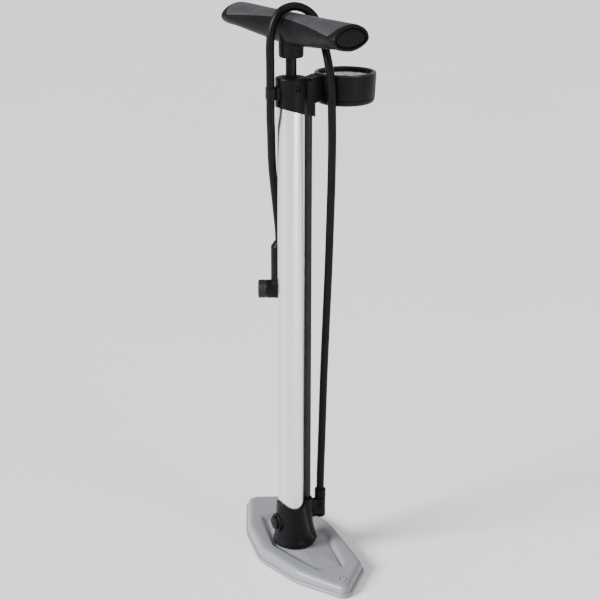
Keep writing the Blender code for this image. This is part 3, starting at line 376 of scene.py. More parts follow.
def make_looks():
    looks = {}
    black = (0.0042, 0.0042, 0.0050)
    looks["black_plastic"] = moulded("black_moulded_plastic", black, 0.40, 0.00003, 0.10)
    looks["gloss_black"] = moulded("black_glossy_plastic", (0.010, 0.011, 0.012), 0.22, 0.00001, 0.35)
    looks["worn_black"] = moulded("black_ribbed_plastic", (0.011, 0.011, 0.012), 0.46, 0.00004, 0.25)
    looks["ink"] = moulded("printed_ink", (0.012, 0.012, 0.013), 0.45, 0.000004)
    looks["grip_rubber"] = moulded("grey_soft_plastic", (0.0245, 0.025, 0.0285), 0.42, 0.00005, 0.40)
    looks["rubber"] = moulded("black_rubber", (0.0042, 0.0042, 0.0048), 0.40, 0.00004, 0.11)
    foot = Look("silver_moulded_plastic", (0.215, 0.222, 0.240), 0.36, 0.0)
    foot.vary_color(foot.cells(1600.0), 0.93, 1.06, 0.1, 0.6)
    foot.vary_rough(foot.noise(18.0, 4.0), 0.30, 0.42)
    foot.bump(foot.noise(1500.0, 3.0), 0.00003, 0.5)
    looks["silver_plastic"] = foot.mat
    barrel = Look("satin_anodised_aluminium", (0.83, 0.84, 0.85), 0.30, 1.0)
    barrel.vary_color(barrel.noise(14.0, 4.0, (1, 1, 0.15)), 0.97, 1.02)
    barrel.vary_rough(barrel.noise(900.0, 3.0, (1, 1, 0.03)), 0.26, 0.34)
    barrel.bump(barrel.noise(1800.0, 2.0, (1, 1, 0.02)), 0.000006, 0.5)
    looks["aluminium"] = barrel.mat
    steel = Look("zinc_plated_steel", (0.60, 0.60, 0.61), 0.28, 1.0)
    steel.vary_color(steel.noise(90.0, 4.0), 0.9, 1.06)
    steel.vary_rough(steel.noise(250.0, 4.0), 0.22, 0.36)
    looks["steel"] = steel.mat
    rod = Look("black_coated_steel", (0.0045, 0.0045, 0.0052), 0.34, 0.0, Specular_IOR_Level=0.12)
    rod.vary_color(rod.noise(40.0, 3.0), 0.85, 1.2)
    rod.vary_rough(rod.noise(400.0, 3.0, (1, 1, 0.1)), 0.28, 0.40)
    looks["black_steel"] = rod.mat
    brass = Look("cut_brass", (0.75, 0.57, 0.27), 0.28, 1.0)
    brass.vary_color(brass.noise(120.0, 4.0), 0.88, 1.06)
    brass.vary_rough(brass.noise(500.0, 3.0), 0.22, 0.36)
    looks["brass"] = brass.mat
    dial = Look("dial_enamel", (0.86, 0.87, 0.87), 0.38)
    dial.vary_color(dial.noise(50.0, 3.0), 0.97, 1.02)
    dial.vary_rough(dial.noise(200.0, 3.0), 0.32, 0.44)
    looks["dial_face"] = dial.mat
    red = Look("red_lacquer", (0.62, 0.04, 0.03), 0.35)
    red.vary_color(red.noise(200.0, 3.0), 0.92, 1.05)
    red.vary_rough(red.noise(300.0, 3.0), 0.30, 0.42)
    looks["red_paint"] = red.mat
    clear = Look("clear_window", (0.97, 0.98, 0.98), 0.04, 0.0, Transmission_Weight=1.0, IOR=1.08)
    clear.vary_rough(clear.noise(120.0, 3.0), 0.02, 0.06)
    looks["clear_plastic"] = clear.mat
    return looks


LOOKS = make_looks()


# Forms: short-lived objects that are joined and cut before they become pieces


AXIS_TURN = {
    "Z": Matrix.Identity(4),
    "X": Matrix.Rotation(math.pi / 2, 4, "Y"),
    "Y": Matrix.Rotation(-math.pi / 2, 4, "X"),
}


def form(verts, faces):
    mesh = mesh_from("form", verts, faces, 180.0)
    obj = bpy.data.objects.new("form", mesh)
    bpy.context.scene.collection.objects.link(obj)
    return obj


def loft(rings, closed=True):
    """A closed skin through rings of equally many points."""
    count = len(rings[0])
    verts = [tuple(p) for ring in rings for p in ring]
    faces = []
    for i in range(len(rings) - 1):
        for k in range(count):
            j = (k + 1) % count
            faces.append((i * count + k, i * count + j, (i + 1) * count + j, (i + 1) * count + k))
    last = (len(rings) - 1) * count
    if closed:
        faces.append(tuple(range(count)))
        faces.append(tuple(last + k for k in range(count)))
    else:
        for k in range(count):
            j = (k + 1) % count
            faces.append((last + k, last + j, j, k))
    return form(verts, faces)


def lathe(profile, at=(0, 0, 0), axis="Z", sides=64, closed=True):
    """A (radius, height) profile turned round an axis; not closed means a ring with a hole."""
    turn = Matrix.Translation(at) @ AXIS_TURN[axis]
    rings = []
    for r, z in profile:
        r = max(r, 0.00002)
        ring = [turn @ Vector((r * math.cos(a), r * math.sin(a), z)) for a in angles(sides)]
        rings.append(ring)
    return loft(rings, closed)


def angles(sides):
    return [math.tau * k / sides for k in range(sides)]


def soften(profile, radius=0.0006, steps=3):
    """Rounds the inner corners of an open profile."""
    out = [profile[0]]
    for before, here, after in zip(profile, profile[1:], profile[2:]):
        a, b, c = Vector(before), Vector(here), Vector(after)
        run = min(radius, 0.45 * (b - a).length, 0.45 * (c - b).length)
        first = b + (a - b).normalized() * run
        last = b + (c - b).normalized() * run
        for k in range(steps + 1):
            t = k / steps
            out.append(tuple(first.lerp(b, t).lerp(b.lerp(last, t), t)))
    out.append(profile[-1])
    return out


def block(low, high, bevel=0.0):
    low, high = Vector(low), Vector(high)
    bm = bmesh.new()
    bmesh.ops.create_cube(bm, size=1.0)
    bmesh.ops.scale(bm, vec=high - low, verts=bm.verts[:])
    bmesh.ops.translate(bm, vec=(low + high) / 2, verts=bm.verts[:])
    if bevel:
        bmesh.ops.bevel(bm, geom=bm.edges[:], offset=bevel, segments=3, profile=0.5, affect="EDGES")
    mesh = bpy.data.meshes.new("form")
    bm.to_mesh(mesh)
    bm.free()
    obj = bpy.data.objects.new("form", mesh)
    bpy.context.scene.collection.objects.link(obj)
    return obj


def prism(outline, low, high, axis="Z"):
    """An outline raised along an axis between two heights."""
    if axis == "X":
        return loft([[(h, u, v) for u, v in outline] for h in (low, high)])
    if axis == "Y":
        return loft([[(u, h, v) for u, v in outline] for h in (low, high)])
    return loft([[(u, v, h) for u, v in outline] for h in (low, high)])


def bake(obj):
    """Applies an object's modifiers."""
    graph = bpy.context.evaluated_depsgraph_get()
    graph.update()
    mesh = bpy.data.meshes.new_from_object(obj.evaluated_get(graph))
    obj.modifiers.clear()
    obj.data = mesh
    return obj


def mix(base, others, operation):
    for other in others:
        mod = base.modifiers.new("mix", "BOOLEAN")
        mod.operation = operation
        mod.solver = "EXACT"
        mod.object = other
    bake(base)
    for other in others:
        bpy.data.objects.remove(other, do_unlink=True)
    return base


def join(base, *others):
    return mix(base, others, "UNION")


def cut(base, *others):
    return mix(base, others, "DIFFERENCE")


def soft_skin(obj, voxel, rounds=6, keep=0.5):
    """Rounds every corner of a form a little, as a moulding's corners are."""
    mod = obj.modifiers.new("skin", "REMESH")
    mod.mode = "VOXEL"
    mod.voxel_size = voxel
    mod.adaptivity = 0.0
    ease = obj.modifiers.new("ease", "SMOOTH")
    ease.factor = 0.5
    ease.iterations = rounds
    if keep < 1.0:
        thin = obj.modifiers.new("thin", "DECIMATE")
        thin.ratio = keep
    return bake(obj)


def softened_edges(obj, width, segments=2, angle=35.0):
    mod = obj.modifiers.new("edge", "BEVEL")
    mod.width = width
    mod.segments = segments
    mod.limit_method = "ANGLE"
    mod.angle_limit = math.radians(angle)
    return bake(obj)


def piece(obj, name, slot_name, *nodes, look=None, body=PUMP, angle=40.0):
    """Turns a finished form into a named piece on its body, in place of CAD nodes."""
    mesh = obj.data
    obj.name = name
    mesh.name = name
    mesh.shade_smooth()
    mesh.set_sharp_from_angle(angle=math.radians(angle))
    mesh.materials.clear()
    mesh.materials.append(LOOKS[look or slot_name])
    if body:
        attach(obj, body)
    if nodes:
        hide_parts(*nodes)
    return obj


# The foot


def mirrored(half):
    other = [((-x, y), r) for (x, y), r in half[1:-1]]
    return half + other[::-1]


def rounded(corners, steps):
    """The outline through ((x, y), radius) corners with each corner an arc."""
    points = []
    count = len(corners)
    for i, (corner, radius) in enumerate(corners):
        here = Vector(corner)
        before = Vector(corners[i - 1][0]) - here
        after = Vector(corners[(i + 1) % count][0]) - here
        half = before.angle(after) / 2
        run = min(radius / math.tan(half), 0.45 * before.length, 0.45 * after.length)
        radius = run * math.tan(half)
        inward = (before.normalized() + after.normalized()).normalized()
        middle = here + inward * (radius / math.sin(half))
        first = here + before.normalized() * run - middle
        last = here + after.normalized() * run - middle
        sweep_angle = first.angle_signed(last)
        for k in range(steps + 1):
            turn = Matrix.Rotation(-sweep_angle * k / steps, 2)
            points.append(tuple(middle + turn @ first))
    return points


def inset(corners, distance):
    count = len(corners)
    moved = []
    for i, (corner, radius) in enumerate(corners):
        here = Vector(corner)
        before = (here - Vector(corners[i - 1][0])).normalized()
        after = (Vector(corners[(i + 1) % count][0]) - here).normalized()
        side_a = Vector((-before.y, before.x))
        side_b = Vector((-after.y, after.x))
        shift = (side_a + side_b) / (1 + side_a.dot(side_b)) * distance
        moved.append((tuple(here + shift), max(radius - distance, 0.002)))
    return moved


def crest(x):
    return CREST_Z - CREST_DROP * (np.abs(x) / TIP_X) ** 1.5


def ease(values, start, end):
    t = np.clip((values - start) / (end - start), 0, 1)
    return t * t * (3 - 2 * t)


def outline_ring(corners, distance):
    return np.array(rounded(inset(corners, distance), 9))


def make_foot():
    dish = mirrored(DISH_HALF)
    rings = []
    for distance, share in WALL:
        flat = outline_ring(FOOT, distance)
        z = SHELL_FOOT + share * (crest(flat[:, 0]) - SHELL_FOOT)
        rings.append(np.column_stack([flat, z]))
    edge = outline_ring(FOOT, WALL[-1][0])
    rim = outline_ring(dish, -0.0016)
    for t in (0.2, 0.4, 0.6, 0.8):
        flat = edge * (1 - t) + rim * t
        rings.append(np.column_stack([flat, crest(flat[:, 0])]))
    for (sharp, drop), (soft, soft_drop) in zip(DISH_WALL, DISH_SOFT):
        steep = outline_ring(dish, sharp)
        gentle = outline_ring(dish, soft)
        share = ease(steep[:, 0], -0.030, 0.010) * ease(steep[:, 1], 0.040, 0.026)
        flat = gentle + (steep - gentle) * share[:, None]
        depth = soft_drop + (drop - soft_drop) * share
        rings.append(np.column_stack([flat, crest(flat[:, 0]) - depth]))
    low = rings[-1]
    centre = np.array([0.0, 0.004])
    spoke = low[:, :2] - centre
    hub = centre + spoke / np.linalg.norm(spoke, axis=1)[:, None] * 0.0165
    for t in (0.15, 0.3, 0.45, 0.6, 0.75, 0.9, 1.0):
        flat = low[:, :2] * (1 - t) + hub * t
        z = low[:, 2] * (1 - t) + CREST_Z * t
        rings.append(np.column_stack([flat, z]))
    shell = loft(rings)
    piece(shell, "foot_shell", "silver_plastic", "base_shell", angle=50)
    sole_rings = []
    for distance, z in SOLE_EDGE:
        flat = outline_ring(FOOT, distance)
        sole_rings.append(np.column_stack([flat, np.full(len(flat), z)]))
    sole = loft(sole_rings)
    holes = [rod((x, y, -0.001), 0.0050, 0.0043, sides=32) for x, y in SCREW_PLACES]
    cut(sole, *holes)
    piece(sole, "foot_sole", "silver_plastic", "base_sole", angle=50)
    marks = []
    for a in angles(8):
        place_at = (MARK_X + MARK_R * math.cos(a), MARK_Y + MARK_R * math.sin(a), 0)
        z = crest(place_at[0])
        dot = [(0, z + 0.0012), (0.0007, z + 0.0011), (0.0012, z + 0.0007), (0.0012, z - 0.0006)]
        dot += [(0, z - 0.0006)]
        marks.append(lathe(dot, place_at, sides=12))
    dots = join_loose(marks)
    piece(dots, "foot_dots", "silver_plastic", angle=60)


def join_loose(forms):
    """One mesh of several separate forms."""
    bm = bmesh.new()
    for obj in forms:
        bm.from_mesh(obj.data)
        bpy.data.objects.remove(obj, do_unlink=True)
    mesh = bpy.data.meshes.new("form")
    bm.to_mesh(mesh)
    bm.free()
    obj = bpy.data.objects.new("form", mesh)
    bpy.context.scene.collection.objects.link(obj)
    return obj


# The socket, its plug and the hose outlet


def rod(start, length, radius, axis="Z", sides=48, bevel=0.0):
    profile = [(0, 0), (radius, 0), (radius, length), (0, length)]
    if bevel:
        profile = soften(profile, bevel)
    return lathe(profile, start, axis, sides)


def arc(radius, middle_y, start, end, steps):
    """Points of an arc round a place on the Y axis, from one angle in degrees to another."""
    turns = np.radians(np.linspace(start, end, steps + 1))
    return [(radius * math.cos(a), middle_y + radius * math.sin(a)) for a in turns]


def cross_cut(half_long, half_thin, low, high):
    """The two slots of a cross recess."""
    along = block((-half_long, -half_thin, low), (half_long, half_thin, high))
    across = block((-half_thin, -half_long, low), (half_thin, half_long, high))
    return along, across


def make_socket():
    rings = []
    for z, r, shift in SOCKET_FORM:
        rings.append([(r * math.cos(a), shift + r * math.sin(a), z) for a in angles(96)])
    socket = loft(rings)
    cut(socket, rod((-0.04, 0, 0.0899), 0.08, 0.0239, "X", 96))
    rear = [(0, 0.0184), (0.0170, 0.0184), (0.0150, 0.0250), (0.0122, 0.0400), (0.0114, 0.0520)]
    rear += [(0.0112, 0.0700), (0.0100, 0.0720), (0, 0.0720)]
    rear = lathe(rear, (0, 0.0160, 0), sides=64)
    arm = rod((0, 0.018, VALVE_Z), OUTLET_Y - 0.018, 0.0066, "Y")
    web = block((-0.0042, 0.0180, 0.0470), (0.0042, OUTLET_Y, 0.0655), 0.0012)
    outlet = rod((0, OUTLET_Y, 0.0418), 0.0243, 0.0064, bevel=0.0012)
    boss = rod((0, -0.0208, PLUG_Z), 0.010, 0.0108, "Y", 64, 0.0012)
    join(socket, rear, arm, web, outlet, boss)
    barrel = rod((0, 0, 0.0442), 0.06, BARREL_R + 0.0003, sides=96)
    channel = rod((0, CHANNEL_Y, 0.0595), 0.05, CHANNEL_WAY_R)
    plug = rod((0, -0.03, PLUG_Z), 0.0105, 0.0080, "Y")
    nut = rod((0, OUTLET_Y, 0.0640), 0.0200, 0.0030)
    cut(socket, barrel, channel, plug, nut)
    soft_skin(socket, 0.00045, 6, 0.6)
    piece(socket, "socket_body", "black_plastic", "barrel_socket", angle=70)
    profile = [(0, 0.0030), (0.0050, 0.0030), (0.0054, 0.0022), (0.0061, 0.0022), (0.0066, 0.0030)]
    profile += [(0.0074, 0.0029), (0.0077, 0.0024), (0.0077, -0.0030), (0, -0.0030)]
    plug = lathe(soften(profile, 0.0003), sides=64)
    cut(plug, *cross_cut(0.0032, 0.0005, 0.0022, 0.0040))
    plug.data.transform(Matrix.Translation((0, -0.0205, PLUG_Z)) @ Matrix.Rotation(math.pi / 2, 4, "X"))
    piece(plug, "valve_cap", "black_plastic", "valve_plug")
    nut = [(0.0026, 0.0775), (0.0050, 0.0780), (0.0058, 0.0779), (0.0067, 0.0768), (0.0068, 0.0750)]
    nut += [(0.0066, 0.0744), (0.0066, 0.0696), (0.0068, 0.0690), (0.0068, 0.0672), (0.0064, 0.0665)]
    nut += [(0.0026, 0.0665)]
    nut = lathe(soften(nut, 0.0003), (0, OUTLET_Y, 0), sides=64, closed=False)
    piece(nut, "outlet_collar", "black_plastic", "hose_nut")


# The barrel and the channel beside it


def make_barrel():
    profile = [(0.01375, BARREL_TOP - 0.0003), (BARREL_R - 0.0002, BARREL_TOP)]
    profile += [(BARREL_R, BARREL_TOP - 0.0002), (BARREL_R, 0.0460), (BARREL_R - 0.0002, 0.0458)]
    profile += [(0.01375, 0.0458)]
    piece(lathe(profile, sides=160, closed=False), "barrel_tube", "aluminium", "barrel")
    outer = arc(CHANNEL_R, CHANNEL_Y, -62, 242, 40)
    inner = arc(CHANNEL_R - 0.0012, CHANNEL_Y, 242, -62, 40)
    channel = prism(outer + inner, 0.0600, 0.5480)
    cut(channel, rod((0, 0, 0.03), 0.56, BARREL_R + GAP, sides=128))
    piece(channel, "air_channel", "black_plastic", "air_tube_channel", look="worn_black")


# The head on top of the barrel


def make_head():
    profile = [(0, HEAD_TOP - 0.0006), (0.0110, HEAD_TOP - 0.0006), (0.0116, HEAD_TOP)]
    profile += [(0.0156, HEAD_TOP), (0.0168, HEAD_TOP - 0.0004), (0.0173, HEAD_TOP - 0.0016)]
    profile += [(0.0173, HEAD_FOOT), (0, HEAD_FOOT)]
    head = lathe(profile, sides=96)
    slope = [(-0.03, 0.5200), (0.03, 0.5200), (0.03, 0.5290), (-0.0173, 0.5430), (-0.03, 0.5430)]
    cut(head, prism(slope, -0.03, 0.03, "X"))
    neck = [(0.004, 0.5450), (0.0250, 0.5450), (0.0300, 0.5466), (0.0380, 0.5474)]
    neck += [(0.0380, 0.5748), (0.0330, 0.5748), (0.0290, 0.5742), (0.0220, 0.5722), (0.004, 0.5722)]
    neck = softened_edges(prism(neck, -0.0100, 0.0100, "X"), 0.0014, 3)
    sleeve_r = 0.0086
    side = [(-0.0090, 0.006), (0.0090, 0.006)] + arc(sleeve_r, CHANNEL_Y, 0, 180, 30)
    end_y = CHANNEL_Y + sleeve_r
    low = [(x, y, 0.5285 + 0.45 * (end_y - y)) for x, y in side]
    sleeve = loft([low, [(x, y, 0.5500) for x, y in side]])
    jaw = arc(0.0070, CLIP_Y, -28, 208, 32) + arc(0.0050, CLIP_Y, 208, -28, 32)
    jaw = prism(jaw, CLIP_LOW, CLIP_HIGH)
    root = block((-0.0050, CLIP_Y + 0.0054, CLIP_LOW), (0.0050, -0.0120, CLIP_HIGH))
    tab = block((-0.0030, 0.0300, 0.5736), (0.0030, 0.0345, 0.5756), 0.0005)
    join(head, neck, sleeve, jaw, root, tab)
    notch = block((0.0052, 0.0168, 0.5700), (0.0120, 0.0192, 0.5760))
    bore = rod((0, 0, 0.5), 0.0603, BARREL_R + 0.00035, sides=96)
    seat = rod((0, 0, 0.55), 0.05, 0.0097, sides=64)
    way = rod((0, CHANNEL_Y, 0.5), 0.0483, CHANNEL_WAY_R)
    cradle = rod((0, GAUGE_Y, 0.53), 0.06, GAUGE_R + 0.0002, sides=128)
    screws = rod((-0.03, 0, HEAD_SCREW_Z), 0.06, 0.0031, "X", 32)
    core = rod((0, 0, 0.5611), 0.0100, 0.0158, sides=64)
    cut(head, bore, seat, way, cradle, notch)
    cut(screws, core)
    cut(head, screws)
    soft_skin(head, 0.0004, 5, 0.6)
    piece(head, "head_body", "black_plastic", "barrel_head", angle=70)


# The gauge


def make_gauge():
    at = (0, GAUGE_Y, 0)
    r = GAUGE_R
    case = [(r - 0.0024, 0.5734), (r - 0.0002, 0.5734), (r, 0.5730), (r - 0.0004, 0.5610)]
    case += [(r - 0.0011, 0.5480), (r - 0.0014, 0.5477), (r - 0.0040, 0.5477)]
    case = lathe(soften(case, 0.0003), at, sides=160, closed=False)
    piece(case, "gauge_shell", "black_plastic", "gauge_case")
    back = [(0, 0.5424), (r - 0.0070, 0.5424), (r - 0.0042, 0.5446), (r - 0.0040, 0.5474)]
    back += [(r - 0.0015, 0.5474), (r - 0.0013, 0.5470), (r - 0.0018, 0.5444), (r - 0.0034, 0.5422)]
    back += [(r - 0.0062, 0.5412), (r - 0.0120, 0.5410), (0, 0.5410)]
    piece(lathe(soften(back, 0.0008), at, sides=160), "gauge_base", "black_plastic", "gauge_back")
    bezel = [(r - 0.0044, 0.5748), (r - 0.0036, 0.5756), (r - 0.0022, 0.5757), (r - 0.0008, 0.5754)]
    bezel += [(r, 0.5744), (r, 0.5737), (r - 0.0027, 0.5737), (r - 0.0027, 0.5728), (r - 0.0044, 0.5728)]
    bezel = lathe(soften(bezel, 0.0003), at, sides=160, closed=False)
    piece(bezel, "gauge_ring", "black_plastic", "gauge_bezel", look="gloss_black")
    low = DIAL_Z - 0.0006
    face = [(0.0012, DIAL_Z), (0.0306, DIAL_Z), (0.0312, DIAL_Z - 0.0002), (0.0312, low), (0.0012, low)]
    piece(lathe(face, at, sides=96, closed=False), "gauge_face", "dial_face", "gauge_dial")
    make_needle()
    make_dial_print()


def make_needle():
    z = NEEDLE_Z
    half = [(0.0011, -0.0075), (0.0009, 0.0), (0.00025, 0.0240)]
    hand = [(-half[0][0], half[0][1]), *half] + [(-x, y) for x, y in half[:0:-1]]
    c, s = math.cos(NEEDLE_REST), math.sin(NEEDLE_REST)
    hand = [(x * c - y * s, GAUGE_Y + x * s + y * c) for x, y in hand]
    hand = softened_edges(prism(hand, z, z + 0.0004), 0.0001, 1)
    foot = z - 0.00015
    hub = [(0, foot), (0.0028, foot), (0.0028, z + 0.0005), (0.0018, z + 0.0008), (0, z + 0.0009)]
    hub = lathe(soften(hub, 0.0004), (0, GAUGE_Y, 0), sides=48)
    piece(hand, "needle_hand", "red_paint", "gauge_needle", body="needle")
    piece(hub, "needle_hub", "black_plastic", body="needle")


def make_dial_print():
    """A rim line, and ticks and numbers over the needle's sweep, with four ticks to each number."""
    marks = []
    z = DIAL_Z + 0.00001
    start = NEEDLE_REST + math.pi / 2
    ticks = 4 * DIAL_STEPS
    for i in range(ticks + 1):
        inner, half = (0.0262, 0.00030) if i % 4 == 0 else (0.0274, 0.00016)
        marks.append(tick(start - NEEDLE_SWEEP * i / ticks, inner, 0.0290, half, z))
    marks.append(band(0.0293, 0.0297, z))
    for i in range(DIAL_STEPS + 1):
        marks.append(number(str(DIAL_STEP * i), 0.0222, start - NEEDLE_SWEEP * i / DIAL_STEPS, z))
    piece(join_loose(marks), "dial_print", "black_plastic", look="ink")


def tick(a, low, high, half, z):
    along = Vector((math.cos(a), math.sin(a)))
    across = Vector((-along.y, along.x)) * half
    corners = [along * low - across, along * high - across, along * high + across, along * low + across]
    return prism([(p.x, GAUGE_Y + p.y) for p in corners], z, z + PRINT_HEIGHT)


def band(low, high, z):
    ring = [(low, z), (high, z), (high, z + PRINT_HEIGHT), (low, z + PRINT_HEIGHT)]
    return lathe(ring, (0, GAUGE_Y, 0), sides=128, closed=False)


def number(words, radius, a, z):
    curve = bpy.data.curves.new("number", "FONT")
    curve.body = words
    curve.size = 0.0048
    curve.align_x = "CENTER"
    curve.align_y = "CENTER"
    curve.extrude = PRINT_HEIGHT / 2
    obj = bpy.data.objects.new("number", curve)
    obj.location = (radius * math.cos(a), GAUGE_Y + radius * math.sin(a), z + PRINT_HEIGHT / 2)
    bpy.context.scene.collection.objects.link(obj)
    graph = bpy.context.evaluated_depsgraph_get()
    mesh = bpy.data.meshes.new_from_object(obj.evaluated_get(graph))
    mesh.transform(Matrix.Translation(obj.location))
    bpy.data.objects.remove(obj, do_unlink=True)
    made = bpy.data.objects.new("form", mesh)
    bpy.context.scene.collection.objects.link(made)
    return made


# The T handle


# How much squareness each quarter of the section loses towards the ends, by (back half, top half)
QUARTER_LOSS = {(True, True): 0.15, (True, False): 0.80, (False, True): 0.65, (False, False): 0.30}
RIM = [
    (0.0960, 0.0002),
    (0.1020, 0.0002),
    (0.1100, 0.0002),
    (0.1112, 0.0005),
    (0.1118, 0.0010),
    (0.1120, 0.0017),
    (0.1119, 0.0025),
    (0.1115, 0.0031),
    (0.1108, 0.0035),
    (0.1082, 0.0038),
]
END_PLUG = [(0.1084, 0.0043), (0.1100, 0.0043), (0.1106, 0.0047), (0.1109, 0.0056), (0.1110, 0.0080)]
END_PLUG += [(0.1110, 0.0105)]


def outward(x):
    """How far along to its end a place on the handle is, from 0 to 1."""
    return min(1.0, abs(x) / HANDLE_REACH)


def half_width(x):
    return 0.0138 + 0.0082 * outward(x) ** 1.6


def low_z(x):
    return 0.6084 + (0.0088 if x < 0 else 0.0069) * outward(x) ** 1.2


def middle_z(x):
    """The height where the section is widest."""
    return 0.56 * low_z(x) + 0.44 * HANDLE_TOP


def seam_z(x):
    return 0.6372 - 0.0066 * min(1.0, abs(x) / 0.100) ** 1.4


def section_power(x, loss=QUARTER_LOSS[(False, True)]):
    """How square the handle's section is: round at the middle, sharper towards the ends."""
    return 2.35 - loss * outward(x) ** 2


def handle_point(x, shrink, a):
    """A point of the handle's section, at an angle from +Y; each quarter sharpens by its own loss."""
    c, s = math.cos(a), math.sin(a)
    power = 2 / section_power(x, QUARTER_LOSS[(c > 0, s > 0)])
    middle = middle_z(x)
    tall = (HANDLE_TOP - middle if s > 0 else middle - low_z(x)) - shrink
    y = (half_width(x) - shrink) * math.copysign(abs(c) ** power, c)
    return (x, y, middle + tall * math.copysign(abs(s) ** power, s))


def section(x, shrink, start, end, count):
    return [handle_point(x, shrink, a) for a in np.linspace(start, end, count)]


def seam_angle(x, z):
    share = max(-0.999, min(0.999, (z - middle_z(x)) / (HANDLE_TOP - middle_z(x))))
    return math.asin(math.copysign(abs(share) ** (section_power(x) / 2), share))


def end_piece(side, profile):
    """A closed form at one end of the handle, from (x, shrink) sections."""
    return loft([section(side * x, shrink, 0, math.tau * 95 / 96, 96) for x, shrink in profile])


def make_handle():
    rings = []
    for x in np.linspace(-0.1064, 0.1064, 65):
        a = seam_angle(x, seam_z(x) - 0.0001)
        rings.append(section(x, 0.0, math.pi - a, math.tau + a, 61))
    body = loft(rings)
    boss = [(0, 0.6200), (0.0140, 0.6200), (0.0136, 0.6130), (0.0135, 0.6060), (0.0134, 0.5990)]
    boss += [(0.0131, 0.5966), (0.0122, 0.5956), (0.0070, 0.5955), (0, 0.5955)]
    join(body, end_piece(1, RIM), end_piece(-1, RIM), lathe(boss, sides=96))
    bore = rod((0, 0, 0.58), 0.0403, ROD_R + 0.0003, sides=48)
    cut(body, bore)
    softened_edges(body, 0.0003, 2, 50.0)
    turn_handle(body)
    piece(body, "handle_core", "black_plastic", "handle_body", body=HANDLE, angle=35)
    rings = [cover_ring(share, -0.0002) for share in np.linspace(-0.996, 0.996, 61)]
    cover = loft([cover_ring(-1.0, 0.0006), *rings, cover_ring(1.0, 0.0006)])
    softened_edges(cover, 0.0003, 2, 50.0)
    turn_handle(cover)
    piece(cover, "grip_cover", "grip_rubber", "handle_grip", body=HANDLE, angle=35)
    for i, side in enumerate((1, -1), 1):
        plug = end_piece(side, END_PLUG)
        turn_handle(plug)
        piece(plug, f"end_plug_{i}", "black_plastic", f"handle_end_cap_{i}", body=HANDLE, angle=35)


def cover_ring(share, shrink):
    """The grip cover's section; its ends are arcs that leave pointed corners at the seam."""
    ring = []
    for f in np.linspace(0, 1, 61):
        x = share * (0.0985 + 0.0108 * math.sin(math.pi * f) ** 0.7)
        low = seam_angle(x, seam_z(x) + 0.0001)
        ring.append(handle_point(x, shrink, low + (math.pi - 2 * low) * f))
    return ring


def turn_handle(obj):
    obj.data.transform(Matrix.Rotation(HANDLE_TURN, 4, "Z"))


# The pump head on the hose's end


def make_chuck():
    make_chuck_body()
    make_nozzle_ring()
    make_lock_lever()


def make_chuck_body():
    x, y, z = CHUCK
    r = STEM_R
    top = STEM_TOP
    stem = [(0, top), (0.0050, top), (0.0057, top - 0.0005), (r - 0.0003, top - 0.0056)]
    stem += [(r, top - 0.0068), (r, z - 0.0040), (r - 0.0020, z - 0.0092), (0, z - 0.0092)]
    body = lathe(stem, (x, y, 0), sides=64)
    nozzle = rod((x, -0.0163, z), 0.0172, NOZZLE_R, "Y", 64, 0.0005)
    ears = block((x - 0.0062, 0.0040, z - 0.0050), (x + 0.0062, 0.0136, z + 0.0050), 0.0010)
    join(body, nozzle, ears)
    slot_cut = block((x - 0.0043, 0.0058, z - 0.01), (x + 0.0043, 0.03, z + 0.01))
    chamber = rod((x, -0.026, z), 0.0285, 0.0072, "Y")
    cut(body, slot_cut, chamber)
    soft_skin(body, 0.00032, 4, 0.5)
    piece(turn_chuck(body), "nozzle_body", "black_plastic", "chuck_body", angle=70)


def make_nozzle_ring():
    """The nut that holds the grommet, with four ribs round it."""
    x, _, z = CHUCK
    r = NOZZLE_R
    ring = [(0.0044, -0.0095), (0.0084, -0.0095), (0.0094, -0.0092), (0.0101, -0.0087)]
    for k in range(4):
        low = -0.0082 + 0.0020 * k
        ring += [(r - 0.0001, low), (r, low + 0.0003), (r, low + 0.0011)]
        ring += [(r - 0.0001, low + 0.0014), (r - 0.0004, low + 0.0017)]
    ring += [(0.0104, -0.0002), (0.0101, 0.0), (0.0070, 0.0), (0.0070, -0.0074), (0.0044, -0.0074)]
    nut = lathe(ring, (x, -0.0165, z), "Y", 96, closed=False)
    piece(turn_chuck(nut), "nozzle_ring", "grip_rubber", "nozzle_nut", look="worn_black")


def make_lock_lever():
    """The lever, folded up along the stem, with four finger ribs cut into its tip."""
    x, _, z = CHUCK
    p = LEVER_Y
    outline = [(p - 0.0024, z - 0.0026), (p + 0.0022, z - 0.0028), (p + 0.0042, z + 0.0010)]
    outline += [(p + 0.0047, z + 0.0060), (p + 0.0046, z + 0.0120), (p + 0.0043, z + 0.0240)]
    outline += [(p + 0.0040, z + 0.0330), (p + 0.0032, z + 0.0343), (p + 0.0022, z + 0.0345)]
    outline += [(p + 0.0010, z + 0.0330), (p + 0.0006, z + 0.0120), (p - 0.0022, z + 0.0046)]
    lever = prism(outline, x - 0.0040, x + 0.0040, "X")
    ribs = []
    for k in range(4):
        low = z + 0.020 + 0.003 * k
        ribs.append(block((x - 0.0034, p + 0.0036, low), (x + 0.0034, p + 0.0050, low + 0.0012), 0.0002))
    cut(lever, *ribs, rod((x - 0.02, p, z), 0.04, 0.0014, "X", 32))
    softened_edges(lever, 0.0005, 3)
    piece(turn_chuck(lever), "lock_lever", "black_plastic", "chuck_lever", body="lever")


def turn_chuck(obj):
    """Turns a piece of the pump head round its stem to where the nozzle points."""
    to_stem = Matrix.Translation((CHUCK[0], CHUCK[1], 0))
    obj.data.transform(to_stem @ Matrix.Rotation(CHUCK_TURN, 4, "Z") @ to_stem.inverted())
    return obj


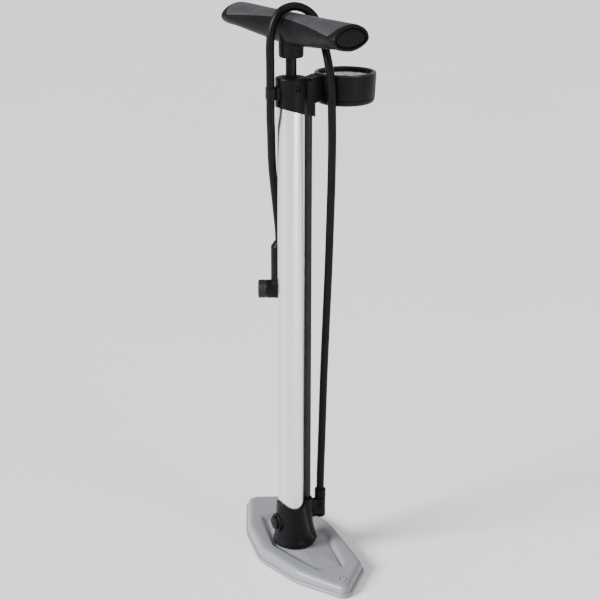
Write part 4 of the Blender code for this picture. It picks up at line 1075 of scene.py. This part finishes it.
def make_head_screws():
    profile = [(0, 0.0), (0.0027, 0.0), (0.0027, 0.0012), (0.0020, 0.0020), (0, 0.0023)]
    for i, side in enumerate((1, -1), 1):
        screw = lathe(soften(profile, 0.0003), sides=40)
        cut(screw, *cross_cut(0.0014, 0.0003, 0.0012, 0.004))
        to_head = Matrix.Translation((side * 0.0141, 0, HEAD_SCREW_Z))
        screw.data.transform(to_head @ Matrix.Rotation(side * math.pi / 2, 4, "Y"))
        piece(screw, f"cross_screw_{i}", "black_steel", f"head_screw_{i}")


make_foot()
make_head_screws()
make_socket()
make_barrel()
make_head()
make_gauge()
make_handle()
make_chuck()


# The hose: the only cord, from the nut on the foot to the pump head


HOSE_LINE = smooth_line(HOSE_ROUTE, 400).tolist()


def make_hose():
    verts, faces = sweep(HOSE_LINE, [HOSE_R] * len(HOSE_LINE), 32)
    mesh = mesh_from("hose_tube", verts, faces)
    hose = bpy.data.objects.new("hose_tube", mesh)
    bpy.context.scene.collection.objects.link(hose)
    piece(hose, "hose_tube", "rubber", "hose", body=None)
    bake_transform(hose)
    return hose


HOSE = make_hose()


def finish_cad_nodes():
    """Gives every CAD node that stays its procedural material."""
    slots = {entry["node"]: entry["material_slot"] for entry in frame["record"]["subparts"]}
    for node in frame["nodes"]:
        obj = bpy.data.objects.get(node)
        if obj is None or obj.type != "MESH":
            continue
        obj.data.materials.clear()
        obj.data.materials.append(LOOKS[slots[node]])


finish_cad_nodes()


# Floor and light


def make_stage():
    make_floor()
    make_world()
    make_lights()


def make_floor():
    half = 14.0
    corners = [(-half, -half, 0), (half, -half, 0), (half, half, 0), (-half, half, 0)]
    mesh = mesh_from("floor", corners, [(0, 1, 2, 3)])
    floor = bpy.data.objects.new("floor", mesh)
    bpy.context.scene.collection.objects.link(floor)
    look = Look("pale_floor", (0.92, 0.92, 0.92), 0.75, Specular_IOR_Level=0.2)
    look.vary_rough(look.noise(3.0, 3.0), 0.7, 0.8)
    mesh.materials.append(look.mat)


def make_world():
    world = bpy.data.worlds.new("studio")
    world.use_nodes = True
    sky = world.node_tree.nodes["Background"]
    sky.inputs["Color"].default_value = (1.0, 1.0, 1.0, 1.0)
    sky.inputs["Strength"].default_value = WORLD_LIGHT
    bpy.context.scene.world = world


def make_lights():
    data = bpy.data.lights.new("soft_sun", "SUN")
    data.energy = SUN_LIGHT
    data.angle = math.radians(24)
    sun = bpy.data.objects.new("soft_sun", data)
    sun.rotation_euler = Vector((0.05, 1.0, -0.52)).to_track_quat("-Z", "Y").to_euler()
    bpy.context.scene.collection.objects.link(sun)
    spot("top_light", (0.9, 0.5, 1.9), (0.05, 0, 0.6), (0.8, 0.8), 8.0)
    spot("side_light", (1.7, 0.45, 0.45), (0, 0, 0.1), (0.9, 0.7), 8.0)


make_stage()
